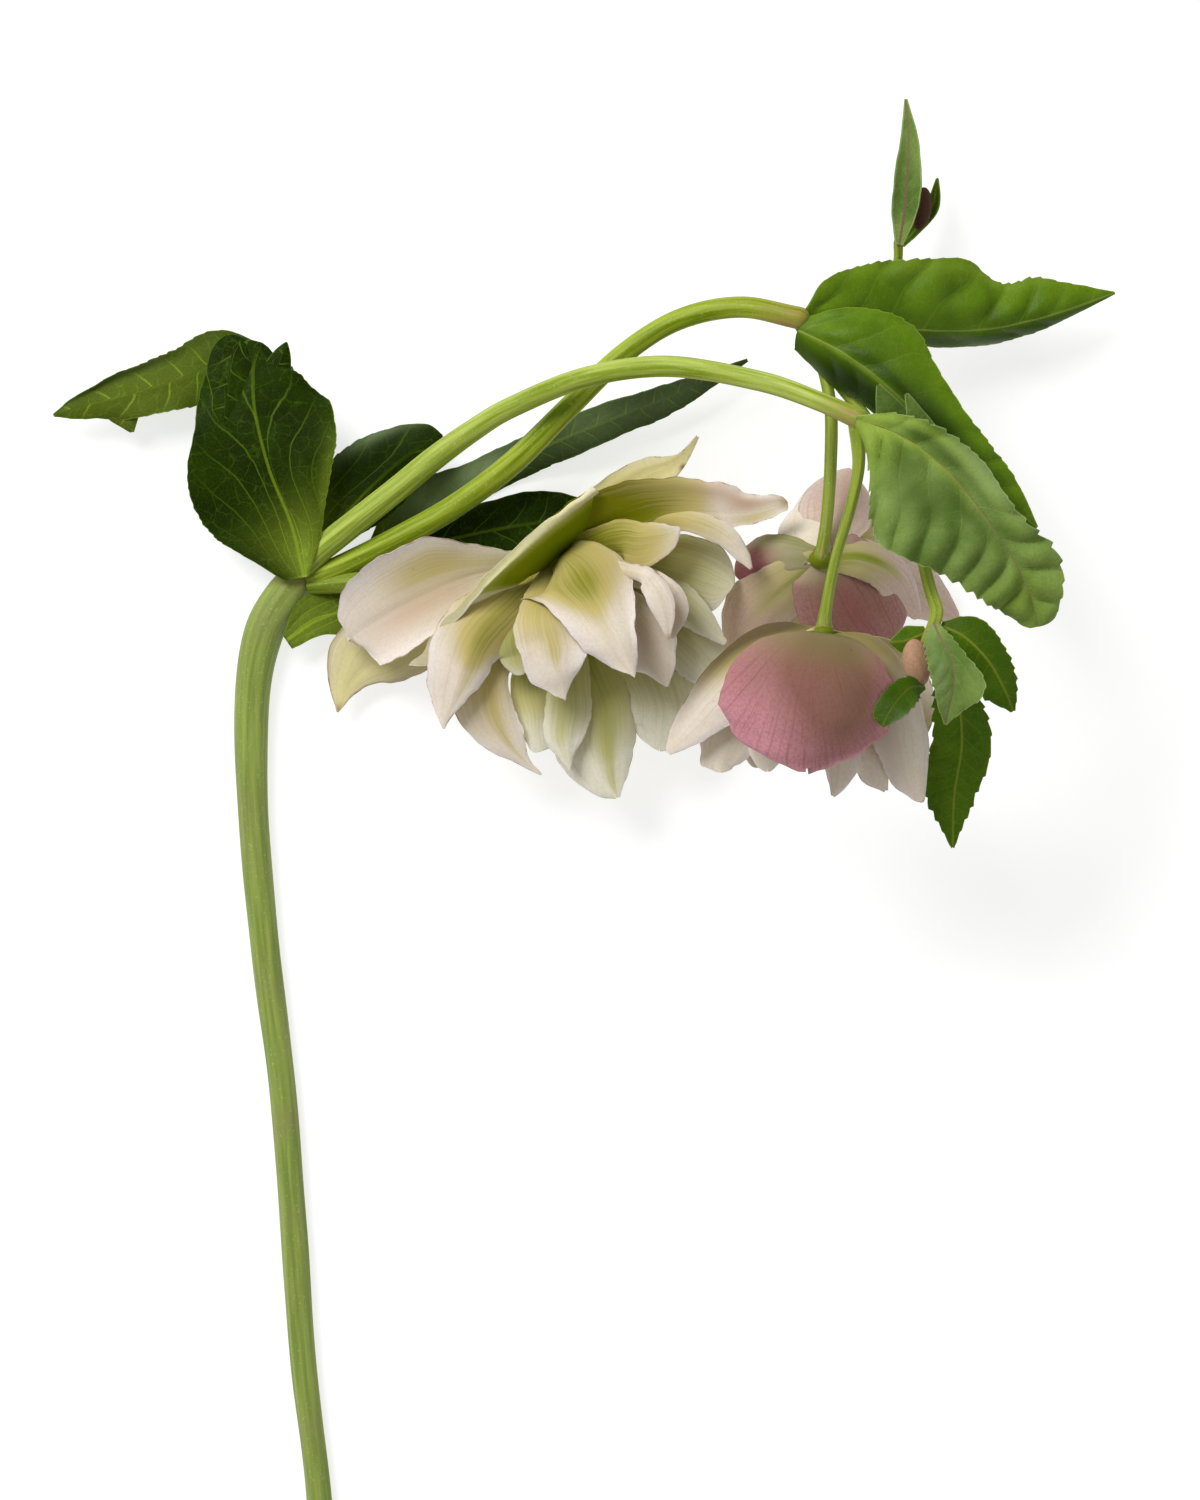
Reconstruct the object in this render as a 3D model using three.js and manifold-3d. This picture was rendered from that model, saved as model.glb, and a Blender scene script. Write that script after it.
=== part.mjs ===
// A cut stem of a double hellebore, laid on its side. A round stem divides at its top node into two
// arching branches and a flower stalk, with a whorl of toothed bracts round the node. The stalks carry
// three double blooms and two buds, and more leaves grow at the ends of the branches. Millimetres, +Z up.
// The origin is the small flat under the top node, on the surface that the stem lies on. +Y runs from the
// cut end towards the branches, and +X the way that the branches arch.

import * as THREE from "three";
import { mergeVertices } from "three/addons/utils/BufferGeometryUtils.js";
import Module from "manifold-3d";

const wasm = await Module();
wasm.setup();

// Driving sizes.
const LEAF_THICKNESS = 0.7;
const PETAL_THICKNESS = 0.6;
const PETAL_ROOT_HALF_WIDTH = 2;
const GAP = 0.3; // clear space left where one piece grows from another
const LEAST_HALF_WIDTH = 0.3; // a blade's half width at its tip
const FULL_TEETH_HALF_WIDTH = 3; // a blade narrower than this has smaller teeth
const FULL_WAVES_HALF_WIDTH = 4; // and one narrower than this has lower waves
const RIGHT_WAVE_PHASE = 0.3; // of a wave, by which the right edge's waves run ahead of the left's
const STEM_SIDES = 10;
const STALK_SIDES = 8;
const SURFACE_SIZE = 800; // of the block that cuts a resting part flat
const SURFACE_DEPTH = 20;

const plant = new THREE.Group();
const degrees = THREE.MathUtils.degToRad;

// ---------------------------------------------------------------- materials

const matter = (color, roughness) => new THREE.MeshStandardMaterial({ color, roughness, metalness: 0 });
const STEM = matter("#8a9f42", 0.5);
const BRANCH = matter("#92ad2c", 0.45);
const DARK_LEAF = matter("#2c4a0c", 0.45);
const LEAF = matter("#568a28", 0.5);
const PALE_PETAL = matter("#dccfc4", 0.6);
const PINK_PETAL = matter("#a9737a", 0.6);
const BUD = matter("#9a7460", 0.6);

// ---------------------------------------------------------------- solids

function solidOf(positions, index) {
  const geometry = new THREE.BufferGeometry();
  geometry.setAttribute("position", new THREE.Float32BufferAttribute(positions, 3));
  geometry.setIndex([...index]);
  const merged = mergeVertices(geometry, 1e-4);
  const vertProperties = merged.attributes.position.array;
  const triVerts = new Uint32Array(merged.index.array);
  return new wasm.Manifold(new wasm.Mesh({ numProp: 3, vertProperties, triVerts }));
}

// The biggest body of a cut solid, so that loose scraps are dropped.
function largest(solid) {
  return solid.decompose().reduce((a, b) => (b.volume() > a.volume() ? b : a));
}

// What reaches below the surface, at z = 0, is cut flat there.
function resting(solid) {
  const below = new THREE.BoxGeometry(SURFACE_SIZE, SURFACE_SIZE, SURFACE_DEPTH);
  below.translate(0, 0, -SURFACE_DEPTH / 2);
  return solid.subtract(solidOf(below.attributes.position.array, below.index.array));
}

const fused = (solids) => solids.reduce((a, b) => a.add(b));
const clearOf = (solid, others) => largest(others.reduce((a, b) => a.subtract(b), solid));

function addPart(name, solid, material) {
  const mesh = solid.getMesh();
  const geometry = new THREE.BufferGeometry();
  geometry.setAttribute("position", new THREE.Float32BufferAttribute(mesh.vertProperties, 3));
  geometry.setIndex(new THREE.Uint32BufferAttribute(mesh.triVerts, 1));
  geometry.computeVertexNormals();
  const part = new THREE.Mesh(geometry, material);
  part.name = name;
  plant.add(part);
}

// ---------------------------------------------------------------- stems and stalks

// A smooth curve through the first three numbers of each station.
function curveThrough(stations) {
  const points = stations.map(([x, y, z]) => new THREE.Vector3(x, y, z));
  return new THREE.CatmullRomCurve3(points, false, "catmullrom");
}

// A round stalk through its stations, each [x, y, z, radius], with flat ends. One side of its section
// faces down, so a stalk that lies on the surface has a flat to lie on. grown thickens it all over.
function stalk({ stations, sides = STALK_SIDES, steps = 14 }, grown = 0) {
  const curve = curveThrough(stations);
  const radii = new THREE.SplineCurve(stations.map((s) => new THREE.Vector2(s[3], 0)));
  const positions = [];
  const index = [];
  for (let i = 0; i <= steps; i++) {
    const t = i / steps;
    const centre = curve.getPoint(t);
    const tangent = curve.getTangent(t);
    const right = tangent.clone().cross(new THREE.Vector3(0, 0, 1)).normalize();
    const up = right.clone().cross(tangent);
    const radius = radii.getPoint(t).x + grown;
    if (i === 0) centre.addScaledVector(tangent, -grown);
    if (i === steps) centre.addScaledVector(tangent, grown);
    for (let k = 0; k < sides; k++) {
      const angle = ((k + 0.5) / sides) * 2 * Math.PI - Math.PI / 2;
      const out = right.clone().multiplyScalar(Math.cos(angle)).addScaledVector(up, Math.sin(angle));
      positions.push(...centre.clone().addScaledVector(out, radius));
    }
  }
  for (let i = 0; i < steps; i++)
    for (let k = 0; k < sides; k++) {
      const a = i * sides + k;
      const b = i * sides + ((k + 1) % sides);
      index.push(a, b + sides, b, a, a + sides, b + sides);
    }
  const last = steps * sides;
  for (let k = 1; k < sides - 1; k++) index.push(0, k, k + 1, last, last + k + 1, last + k);
  return solidOf(positions, index);
}

// A ball drawn out to its three radii, for receptacles, swollen nodes and buds.
function ball(centre, [rx, ry, rz], tilt = 0, grown = 0) {
  const shape = new THREE.SphereGeometry(1, 10, 6);
  shape.scale(rx + grown, ry + grown, rz + grown);
  shape.rotateZ(degrees(tilt));
  shape.translate(...centre);
  return solidOf(shape.attributes.position.array, shape.index.array);
}

// ---------------------------------------------------------------- leaves and petals

// Reads a list spread evenly along a blade at t, from 0 to 1.
function along(values, t) {
  if (values.length === 1) return values[0];
  const at = t * (values.length - 1);
  const i = Math.min(Math.floor(at), values.length - 2);
  return THREE.MathUtils.lerp(values[i], values[i + 1], at - i);
}

// A blade runs through its stations, each [x, y, z, left half width, right half width]. facing is where
// its upper face looks, at one or more places along it. cup arches it across, in degrees at its edges,
// and foldLeft and foldRight lift its halves about the midrib. wave is the height, count and phase of its
// edge's waves, and teeth the depth and count of its edge's teeth.
const PLAIN = {
  facing: [[0, 0, 1]],
  cup: [0],
  foldLeft: [0],
  foldRight: [0],
  wave: [0, 1, 0],
  teeth: [0, 1],
};
const FLAT_ARCH = 1e-4; // radians, in place of no arch at all

// The middle surface of a blade, at t along it and s across it, from -1 at its left edge to 1 at its right.
function bladePoint(blade, t, s) {
  const { curve, widths, facing, cup, foldLeft, foldRight, wave, teeth } = blade;
  const tangent = curve.getTangent(t);
  const look = new THREE.Vector3(...[0, 1, 2].map((k) => along(facing.map((f) => f[k]), t)));
  const right = tangent.clone().cross(look).normalize();
  const up = right.clone().cross(tangent);
  const width = widths.getPoint(t);
  let half = Math.max(s < 0 ? width.x : width.y, LEAST_HALF_WIDTH);
  const tooth = teeth[0] * (1 - ((t * teeth[1]) % 1));
  half -= tooth * Math.min(half / FULL_TEETH_HALF_WIDTH, 1) * Math.abs(s) ** 3;
  const arch = degrees(along(cup, t)) || FLAT_ARCH;
  const reach = (half * Math.sin(arch * Math.abs(s))) / arch;
  const lift = (half * (1 - Math.cos(arch * Math.abs(s)))) / arch;
  const fold = degrees(along(s < 0 ? foldLeft : foldRight, t));
  const phase = wave[2] + (s > 0 ? RIGHT_WAVE_PHASE : 0);
  const swing = Math.sin(2 * Math.PI * (wave[1] * t + phase));
  const ripple = wave[0] * Math.min(half / FULL_WAVES_HALF_WIDTH, 1) * s * s * swing;
  const across = Math.sign(s) * (reach * Math.cos(fold) - lift * Math.sin(fold));
  const rise = reach * Math.sin(fold) + lift * Math.cos(fold) + ripple;
  return curve.getPoint(t).addScaledVector(right, across).addScaledVector(up, rise);
}

// The direction square to a blade's middle surface, from points a little to each side.
const NEAR_T = 0.02;
const NEAR_S = 0.2;

function bladeNormal(blade, t, s) {
  const ahead = bladePoint(blade, Math.min(t + NEAR_T, 1), s);
  const lengthwise = ahead.sub(bladePoint(blade, Math.max(t - NEAR_T, 0), s));
  const beside = bladePoint(blade, t, Math.min(s + NEAR_S, 1));
  const across = beside.sub(bladePoint(blade, t, Math.max(s - NEAR_S, -1)));
  return across.cross(lengthwise).normalize();
}

// A leaf or petal as a closed plate, split into triangles alike on both faces.
function plate({ stations, thickness = PETAL_THICKNESS, rows = 4, columns = 4, ...form }) {
  const blade = {
    ...PLAIN,
    ...form,
    curve: curveThrough(stations),
    widths: new THREE.SplineCurve(stations.map((s) => new THREE.Vector2(s[3], s[4]))),
  };
  const faces = [[], []];
  for (let i = 0; i <= rows; i++)
    for (let j = 0; j <= columns; j++) {
      const t = i / rows;
      const s = (2 * j) / columns - 1;
      const normal = bladeNormal(blade, t, s);
      const point = bladePoint(blade, t, s);
      faces[0].push(point.clone().addScaledVector(normal, thickness / 2));
      faces[1].push(point.clone().addScaledVector(normal, -thickness / 2));
    }
  const wide = columns + 1;
  const under = faces[0].length;
  const index = [];
  const quad = (a, b, c, d) => index.push(a, b, c, a, c, d);
  for (let i = 0; i < rows; i++)
    for (let j = 0; j < columns; j++) {
      const a = i * wide + j;
      const b = a + under;
      index.push(a, a + 1, a + wide + 1, a, a + wide + 1, a + wide);
      index.push(b, b + wide + 1, b + 1, b, b + wide, b + wide + 1);
    }
  for (let j = 0; j < columns; j++) {
    const last = rows * wide + j;
    quad(j, j + under, j + 1 + under, j + 1);
    quad(last + 1, last + 1 + under, last + under, last);
  }
  for (let i = 0; i < rows; i++) {
    const left = i * wide;
    const right = left + columns;
    quad(left + wide, left + wide + under, left + under, left);
    quad(right, right + under, right + wide + under, right + wide);
  }
  return solidOf(faces.flat().flatMap((p) => p.toArray()), index);
}

const leaf = (blade) => plate({ thickness: LEAF_THICKNESS, rows: 12, columns: 4, ...blade });

// ---------------------------------------------------------------- the stem and its branches

const mainStem = {
  sides: STEM_SIDES,
  steps: 18,
  stations: [
    [5.9, -190, 2, 2.2],
    [4.9, -165, 2.05, 2.25],
    [2, -140, 2.1, 2.3],
    [0.2, -115, 2.15, 2.35],
    [-1.8, -90, 2.2, 2.4],
    [-4.9, -65, 2.3, 2.5],
    [-7.1, -40, 2.5, 2.75],
    [-7.3, -20, 2.8, 3.05],
    [-5.3, -8, 3.1, 3.4],
    [-1.5, -1, 3.15, 3.5],
    [2, 3.5, 2.7, 2.9],
  ],
};

const frontBranch = {
  steps: 20,
  stations: [
    [1.5, 4, 5, 2.3],
    [5.4, 7.6, 6.6, 2.4],
    [12, 12.8, 9.3, 2.35],
    [19, 18.3, 11.7, 2.3],
    [26, 24, 13.8, 2.2],
    [33, 29, 16, 2.1],
    [40, 33.1, 19, 2],
    [53.3, 38.3, 25, 1.95],
    [68, 40.1, 32, 1.9],
    [84.3, 37.3, 40, 1.85],
    [94.6, 33.7, 44.5, 1.8],
    [102, 30.4, 46.5, 1.9],
  ],
};

const backBranch = {
  steps: 20,
  stations: [
    [3, 2, 4.2, 2],
    [10, 5, 6, 2.2],
    [20, 9.9, 8.5, 2.25],
    [30, 15.6, 10.5, 2.2],
    [40, 23.1, 13, 2.15],
    [50, 32.9, 15.5, 2.1],
    [60, 42.6, 17.5, 2],
    [70, 48.8, 19.5, 1.95],
    [81, 51, 22, 1.95],
    [91.5, 49, 24.5, 2.1],
  ],
};

const bigBloomStalk = {
  stations: [[3, 1, 4.6, 1.6], [12, 1.6, 7, 1.8], [24, 3, 10, 1.8], [36, 5, 12, 1.8], [47.5, 6, 13, 2]],
};

const frontBloomStalk = {
  stations: [
    [101.5, 30, 46, 1.4],
    [102, 22, 46, 1.1],
    [100.4, 14, 46, 1],
    [97.8, 5, 46, 0.95],
    [96.1, -4, 46, 1.1],
    [95.8, -7, 46, 1.6],
  ],
};

const backBloomStalk = {
  stations: [
    [91.5, 48, 24, 1],
    [95.5, 41, 22, 1.05],
    [97.3, 33, 22, 1.1],
    [97.3, 23, 24, 1.1],
    [96.6, 13, 27, 1.1],
    [95.5, 6, 29.5, 1.2],
  ],
};

const noddingBudStalk = {
  stations: [
    [92.5, 47.5, 23, 1],
    [98, 38.5, 20, 1.1],
    [104, 30.5, 24, 1.1],
    [109, 20, 33, 1.1],
    [112.6, 9, 41, 1.1],
    [114.8, 0, 47, 1.15],
    [115.9, -4.5, 51, 1.15],
    [114, -9.5, 54, 1],
  ],
};

const uprightBudStalk = {
  stations: [
    [92, 49.5, 22, 0.8],
    [100, 51, 12, 0.8],
    [107, 54.5, 9, 0.8],
    [109.5, 59, 9.5, 0.8],
    [109.8, 63, 10.5, 0.9],
  ],
};

const bigReceptacle = [[48, 5.5, 13], [3.4, 3.4, 3]];
const frontReceptacle = [[95.8, -8, 46], [3, 2, 3]];
const backReceptacle = [[95.5, 5.5, 28.4], [2.8, 2.6, 2.2]];

// ---------------------------------------------------------------- bracts and leaves

// The bracts of the top node. The left one's second blade is its long side lobe.
const leftBract = [
  {
    rows: 13,
    columns: 6,
    teeth: [0.5, 13],
    wave: [1, 2.5, 0.1],
    cup: [-12, -18, -10],
    facing: [[-0.1, -0.3, 1], [0, 0, 1], [0, 0.2, 1]],
    stations: [
      [2.2, 2.6, 7.9, 3.4, 0.8],
      [0, 12, 11, 13.6, 6.4],
      [-4, 22, 12.5, 16.2, 13],
      [-6.5, 32, 12.5, 12.2, 14],
      [-7.9, 39.4, 11, 9.4, 11],
      [-7.4, 46, 8.4, 7.4, 6.4],
    ],
  },
  {
    teeth: [0.5, 12],
    wave: [0.8, 2, 0.4],
    cup: [-10],
    stations: [
      [-5, 42.5, 8, 4, 3],
      [-14, 40.5, 7.4, 6.4, 6.4],
      [-22, 38, 7, 5.2, 5.2],
      [-30, 35.2, 7, 6, 4.4],
      [-37, 33.8, 6.6, 2.6, 3.2],
      [-43.2, 31.8, 6, 0.3, 0.3],
    ],
  },
];

const upperBract = {
  teeth: [0.4, 12],
  wave: [0.6, 2, 0.2],
  cup: [-12],
  stations: [
    [4, 6, 3.6, 0.8, 0.8],
    [9, 13, 5, 6.6, 4.4],
    [14.5, 19, 6, 7.8, 6.4],
    [21, 24.6, 7, 5.3, 5],
    [27.3, 28.2, 8, 2.2, 1.4],
  ],
};

const longBract = {
  rows: 14,
  teeth: [0.5, 14],
  wave: [0.5, 3, 0],
  cup: [-8],
  columns: 4,
  stations: [
    [8.4, 3.6, 2, 0.8, 0.8],
    [14.5, 8, 1.9, 1.2, 3],
    [22, 13.2, 1.3, 6, 4],
    [33, 19, 0.9, 4.6, 2.6],
    [46, 26.2, 2.4, 3.4, 3.7],
    [58, 31.2, 4.5, 3.2, 3.5],
    [70, 35.9, 6, 2.2, 2.8],
    [82.5, 41.8, 7, 0.3, 0.3],
  ],
};

const hiddenBract = {
  columns: 4,
  rows: 10,
  wave: [0.4, 2, 0.5],
  cup: [-8],
  stations: [
    [5, 3, 3, 0.8, 0.8],
    [13, 4.4, 3.8, 1.6, 1.6],
    [24, 8.2, 4.6, 3, 4],
    [36, 11, 4.8, 5.2, 5],
    [46, 12.7, 4.8, 5.6, 4],
    [57, 15, 4.4, 0.8, 0.4],
  ],
};

const lowerBract = {
  columns: 4,
  rows: 10,
  cup: [10],
  wave: [0.4, 2, 0],
  stations: [
    [-1, -9, 5.6, 1.2, 1.8],
    [4.4, -5.4, 4.6, 5, 3],
    [11, -3.4, 3.4, 3.6, 5],
    [18, -4.6, 2.2, 3, 5.8],
    [25, -8, 1.4, 1.8, 3],
    [28.5, -10.4, 1.2, 0.3, 0.3],
  ],
};

// The leaves at the end of the back branch, one lying away from it and one hanging over it.
const farLeaf = {
  teeth: [0.4, 14],
  rows: 14,
  wave: [0.6, 2.5, 0.2],
  cup: [-14],
  foldRight: [20, 60, 60, 40],
  stations: [
    [92.8, 49.4, 23.6, 1.4, 0.8],
    [97, 49.3, 22, 7.4, 1.6],
    [105, 48, 19, 11.3, 4],
    [115, 47, 17, 13.1, 4.6],
    [125, 47.2, 15, 11.6, 4.8],
    [134, 48.8, 13.5, 8.6, 3.8],
    [141.5, 51.2, 12, 5.2, 2],
    [149, 53.9, 10.5, 0.3, 0.3],
  ],
};

const nearLeaf = {
  teeth: [0.4, 12],
  rows: 12,
  wave: [0.5, 2, 0],
  cup: [-16],
  foldLeft: [20, 10, 5],
  foldRight: [10, 25, 10],
  stations: [
    [91, 47, 25.6, 1.4, 3],
    [98, 43.7, 29, 9, 7.4],
    [106, 38.5, 31, 10.4, 7],
    [114, 31.5, 32, 6.6, 6.2],
    [122, 23.5, 32, 5.1, 4.6],
    [129, 16.8, 31, 3.1, 3],
    [134.3, 11.2, 29.5, 0.3, 0.3],
  ],
};

// The leaf at the end of the front branch, with two small lobes at its base.
const bigLeaf = [
  {
    teeth: [0.5, 13],
    rows: 13,
    columns: 6,
    wave: [0.7, 2.5, 0.3],
    cup: [-16],
    foldLeft: [15, 15, 10],
    foldRight: [10, 10, 5],
    stations: [
      [101.6, 30.2, 49, 0.8, 1],
      [107.5, 28.6, 52, 2.8, 10.2],
      [113, 25.5, 54.5, 4.9, 16],
      [119.5, 19.3, 56, 5.8, 18],
      [126, 10.6, 56, 6, 13.4],
      [131, 2.5, 54.5, 8.7, 10.2],
      [132.8, -7.2, 51, 3, 2.8],
    ],
  },
  {
    rows: 4,
    columns: 2,
    stations: [
      [107, 29, 51.4, 1.8, 1.6],
      [106.4, 32.4, 52, 1.8, 1.6],
      [105.4, 36.4, 52.4, 0.3, 0.3],
    ],
  },
  {
    rows: 4,
    columns: 2,
    stations: [
      [113, 27.5, 53.8, 1.6, 1.4],
      [111.4, 31.2, 53.2, 1.3, 1],
      [110.2, 35.2, 52.6, 0.3, 0.3],
    ],
  },
];

// ---------------------------------------------------------------- buds

const noddingBud = [[112.2, -13.3, 55.4], [2.5, 4.3, 2.5], 8];
const uprightBud = [[114, 69.2, 8.4], [1.8, 3.9, 1.6], -8];

// The small leaves round each bud.
const noddingBudBracts = [
  {
    teeth: [0.4, 8],
    rows: 8,
    foldLeft: [0, 15, 10],
    foldRight: [0, 15, 10],
    columns: 4,
    stations: [
      [115.4, -6.4, 53.8, 0.7, 0.8],
      [116.2, -8.4, 57.4, 1.8, 3.4],
      [118.4, -12.6, 60, 3, 5],
      [118.8, -17, 60.6, 6.2, 4.5],
      [118.1, -20.6, 60, 3.2, 2.8],
      [117.3, -24.2, 58.4, 0.3, 0.3],
    ],
  },
  {
    rows: 4,
    columns: 4,
    stations: [
      [114, -7.8, 52.6, 1.2, 1.2],
      [110.6, -9.2, 53, 2.8, 2.5],
      [107.4, -9.6, 52.6, 0.3, 0.3],
    ],
  },
  {
    rows: 6,
    columns: 4,
    foldLeft: [20],
    stations: [
      [113.4, -17.5, 55.6, 0.7, 0.7],
      [110.9, -18, 59, 2.8, 3],
      [108.2, -20.8, 61.4, 2.8, 3],
      [106, -24.7, 62, 0.3, 0.3],
    ],
  },
  {
    teeth: [0.4, 8],
    rows: 8,
    columns: 4,
    cup: [-15],
    stations: [
      [116.6, -6.6, 51.2, 0.8, 0.8],
      [120.8, -8.6, 51.8, 4.2, 3.6],
      [125, -12.8, 51.6, 4.2, 4.6],
      [127.8, -17.6, 50.4, 3, 4.6],
      [129.6, -21.8, 49, 0.4, 0.6],
    ],
  },
  {
    teeth: [0.4, 10],
    rows: 10,
    columns: 4,
    cup: [-12],
    stations: [
      [116, -8.4, 50.4, 0.8, 0.8],
      [119.4, -18, 48, 3.7, 4.6],
      [120.5, -27.5, 45, 5.5, 5.6],
      [119.2, -37, 42, 4.1, 5.8],
      [119, -46.2, 39, 0.3, 0.3],
    ],
  },
];

const uprightBudBracts = [
  {
    cup: [35],
    rows: 7,
    columns: 4,
    stations: [
      [109.9, 62.6, 11.6, 0.8, 0.8],
      [110.9, 69, 12.6, 2.6, 2.5],
      [111.3, 75, 12.8, 2.4, 2.7],
      [111.6, 81.5, 12.2, 1.6, 1.9],
      [111.1, 88.9, 11, 0.3, 0.3],
    ],
  },
  {
    cup: [35],
    rows: 5,
    columns: 4,
    stations: [
      [110.4, 62.6, 8.6, 0.6, 0.6],
      [113.2, 65.8, 6.4, 1.1, 1.1],
      [116, 69.8, 6.6, 1.3, 1.4],
      [116.9, 74.8, 7.6, 0.3, 0.3],
    ],
  },
];

// ---------------------------------------------------------------- blooms

// Each petal's stations start past the receptacle, from whose centre addBloom grows it.
const bigBloomPetals = [
  // The two sepals on the left, one under the other.
  {
    cup: [30, 30, 10],
    facing: [[-0.1, -0.2, 1]],
    rows: 6,
    stations: [
      [35, 3.4, 18, 4.2, 5.2],
      [26, 1.4, 19, 6.8, 11.4],
      [17.5, -2.6, 16, 8.2, 8.6],
      [11.2, -8, 12, 3.6, 2],
    ],
  },
  {
    foldLeft: [20, 60, 50],
    stations: [
      [31, -3.5, 8, 3, 4],
      [21, -8, 6.5, 7.4, 6],
      [13, -12.4, 5.5, 7.8, 6.8],
      [8.3, -21.8, 5, 1.2, 1.6],
    ],
  },
  // The sepals over the top: the near edge of the left one, the long right one and the pale one behind them.
  {
    cup: [20],
    facing: [[0.4, -0.8, 0.5]],
    stations: [[45, 9.4, 20, 9, 9], [43.6, 10.8, 27, 10.5, 10], [44.6, 11.4, 33, 5, 5]],
  },
  {
    cup: [15],
    rows: 6,
    facing: [[0, -0.5, 1], [0, -0.4, 1], [0, -0.2, 1]],
    stations: [
      [58, 11.6, 20, 5, 5.5],
      [68, 14.6, 25, 6.8, 4],
      [79, 14.4, 27, 3.8, 4],
      [89, 15.2, 27.5, 1.8, 1.8],
    ],
  },
  {
    stations: [
      [58, 17.4, 11, 3.6, 3],
      [64.4, 21.4, 13, 3.6, 2.6],
      [69, 23.4, 13.6, 0.9, 1],
      [73, 27.5, 13.6, 0.5, 0.5],
    ],
  },
  // The middle petals, from the nearest to the ones behind.
  {
    cup: [-25, -30, -10],
    rows: 6,
    facing: [[0, 0.3, 1], [0, 0, 1], [0, -0.2, 1]],
    stations: [
      [51.8, 3, 26, 11, 10],
      [54.6, -1.5, 30, 9, 7.6],
      [58, -8, 31.5, 5.6, 6],
      [61.3, -15, 31, 0.5, 0.5],
    ],
  },
  {
    cup: [-30, -25, -15],
    stations: [
      [45.8, -3.6, 25, 4.6, 4.8],
      [45.8, -9, 27, 6.8, 5.3],
      [47.2, -14.4, 27.5, 5.8, 4],
      [49.2, -19.5, 26.5, 0.4, 0.4],
    ],
  },
  {
    cup: [-25],
    stations: [
      [38.5, -3, 21, 5.5, 4.8],
      [34, -9.5, 23.5, 6, 9.4],
      [30.2, -18, 23.5, 3.6, 6.9],
      [27.6, -24.6, 22, 0.4, 0.4],
    ],
  },
  {
    cup: [-20],
    stations: [[41, -7, 21, 4, 3.6], [40.6, -18, 20.5, 0.6, 0.6]],
  },
  {
    cup: [-20],
    stations: [
      [37, -11, 17, 3.4, 5.6],
      [36.3, -19, 18, 3.4, 8.2],
      [39.4, -27, 17, 3.2, 5],
      [45, -32.6, 15, 0.4, 0.4],
    ],
  },
  {
    cup: [-20],
    stations: [[43.4, -15, 15, 3.6, 3.6], [44.2, -23, 15.5, 3.2, 3.4], [44.6, -29, 15, 2.6, 1.4]],
  },
  {
    cup: [-30],
    stations: [
      [50, -14, 18, 4, 3.6],
      [50.2, -22, 19.5, 4.6, 4.9],
      [49.6, -28, 19, 4, 4.4],
      [50, -31.8, 18, 1.2, 1.2],
    ],
  },
  {
    cup: [-25],
    stations: [
      [54, -13, 16, 4.4, 3.6],
      [56.6, -21, 17, 5.6, 5.6],
      [57.6, -30, 16, 4.4, 9],
      [58.4, -37, 14.5, 0.8, 1.2],
    ],
  },
  {
    cup: [-25],
    stations: [
      [58, -1.6, 20, 3.4, 3.4],
      [63.5, -6.6, 22.5, 3.2, 4],
      [67, -12.6, 23, 2.8, 6],
      [67.8, -17.2, 22, 0.5, 0.5],
    ],
  },
  {
    cup: [-45],
    stations: [[62.4, 2.8, 28, 1.6, 2], [67, -2.2, 31, 2.2, 2], [68, -9.2, 29.5, 0.3, 0.3]],
  },
  {
    cup: [-20],
    stations: [[64.6, 1.6, 25, 2.4, 2], [69.6, -3, 27, 2.2, 2.4], [68.8, -8.8, 27, 0.3, 0.3]],
  },
  {
    cup: [-20],
    stations: [[58, 9.6, 23, 3, 5], [64, 9.4, 26.5, 2.8, 5.6], [69.9, 11, 27.5, 0.5, 0.5]],
  },
  {
    cup: [-35],
    stations: [
      [63, 11.8, 22, 2, 2.4],
      [72, 11.8, 26, 2.8, 2],
      [78, 9.4, 27, 2.8, 2.4],
      [82.6, 4.6, 26.5, 0.6, 0.8],
    ],
  },
  {
    cup: [-20],
    stations: [[63, 5.6, 17, 4, 4], [71, 3.8, 19, 6.4, 5.6], [79.6, 0.8, 18.6, 6, 8]],
  },
  {
    cup: [-25],
    stations: [[64, 0.6, 18, 4, 3], [72, -4, 20.5, 3.6, 3], [78.4, -9.6, 19.5, 0.6, 0.5]],
  },
  {
    cup: [-20],
    stations: [
      [61, -9, 14.5, 6, 5],
      [66.6, -18, 15.5, 7, 6.4],
      [67.6, -24, 15, 5, 7],
      [66.6, -28.6, 14, 3, 4],
    ],
  },
  {
    cup: [-20],
    stations: [
      [63, -4, 14.5, 5, 4.6],
      [71, -9.4, 16.6, 6.4, 5],
      [75.6, -15, 16, 4, 4],
      [75.6, -20, 14.5, 1, 1],
    ],
  },
];

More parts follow.
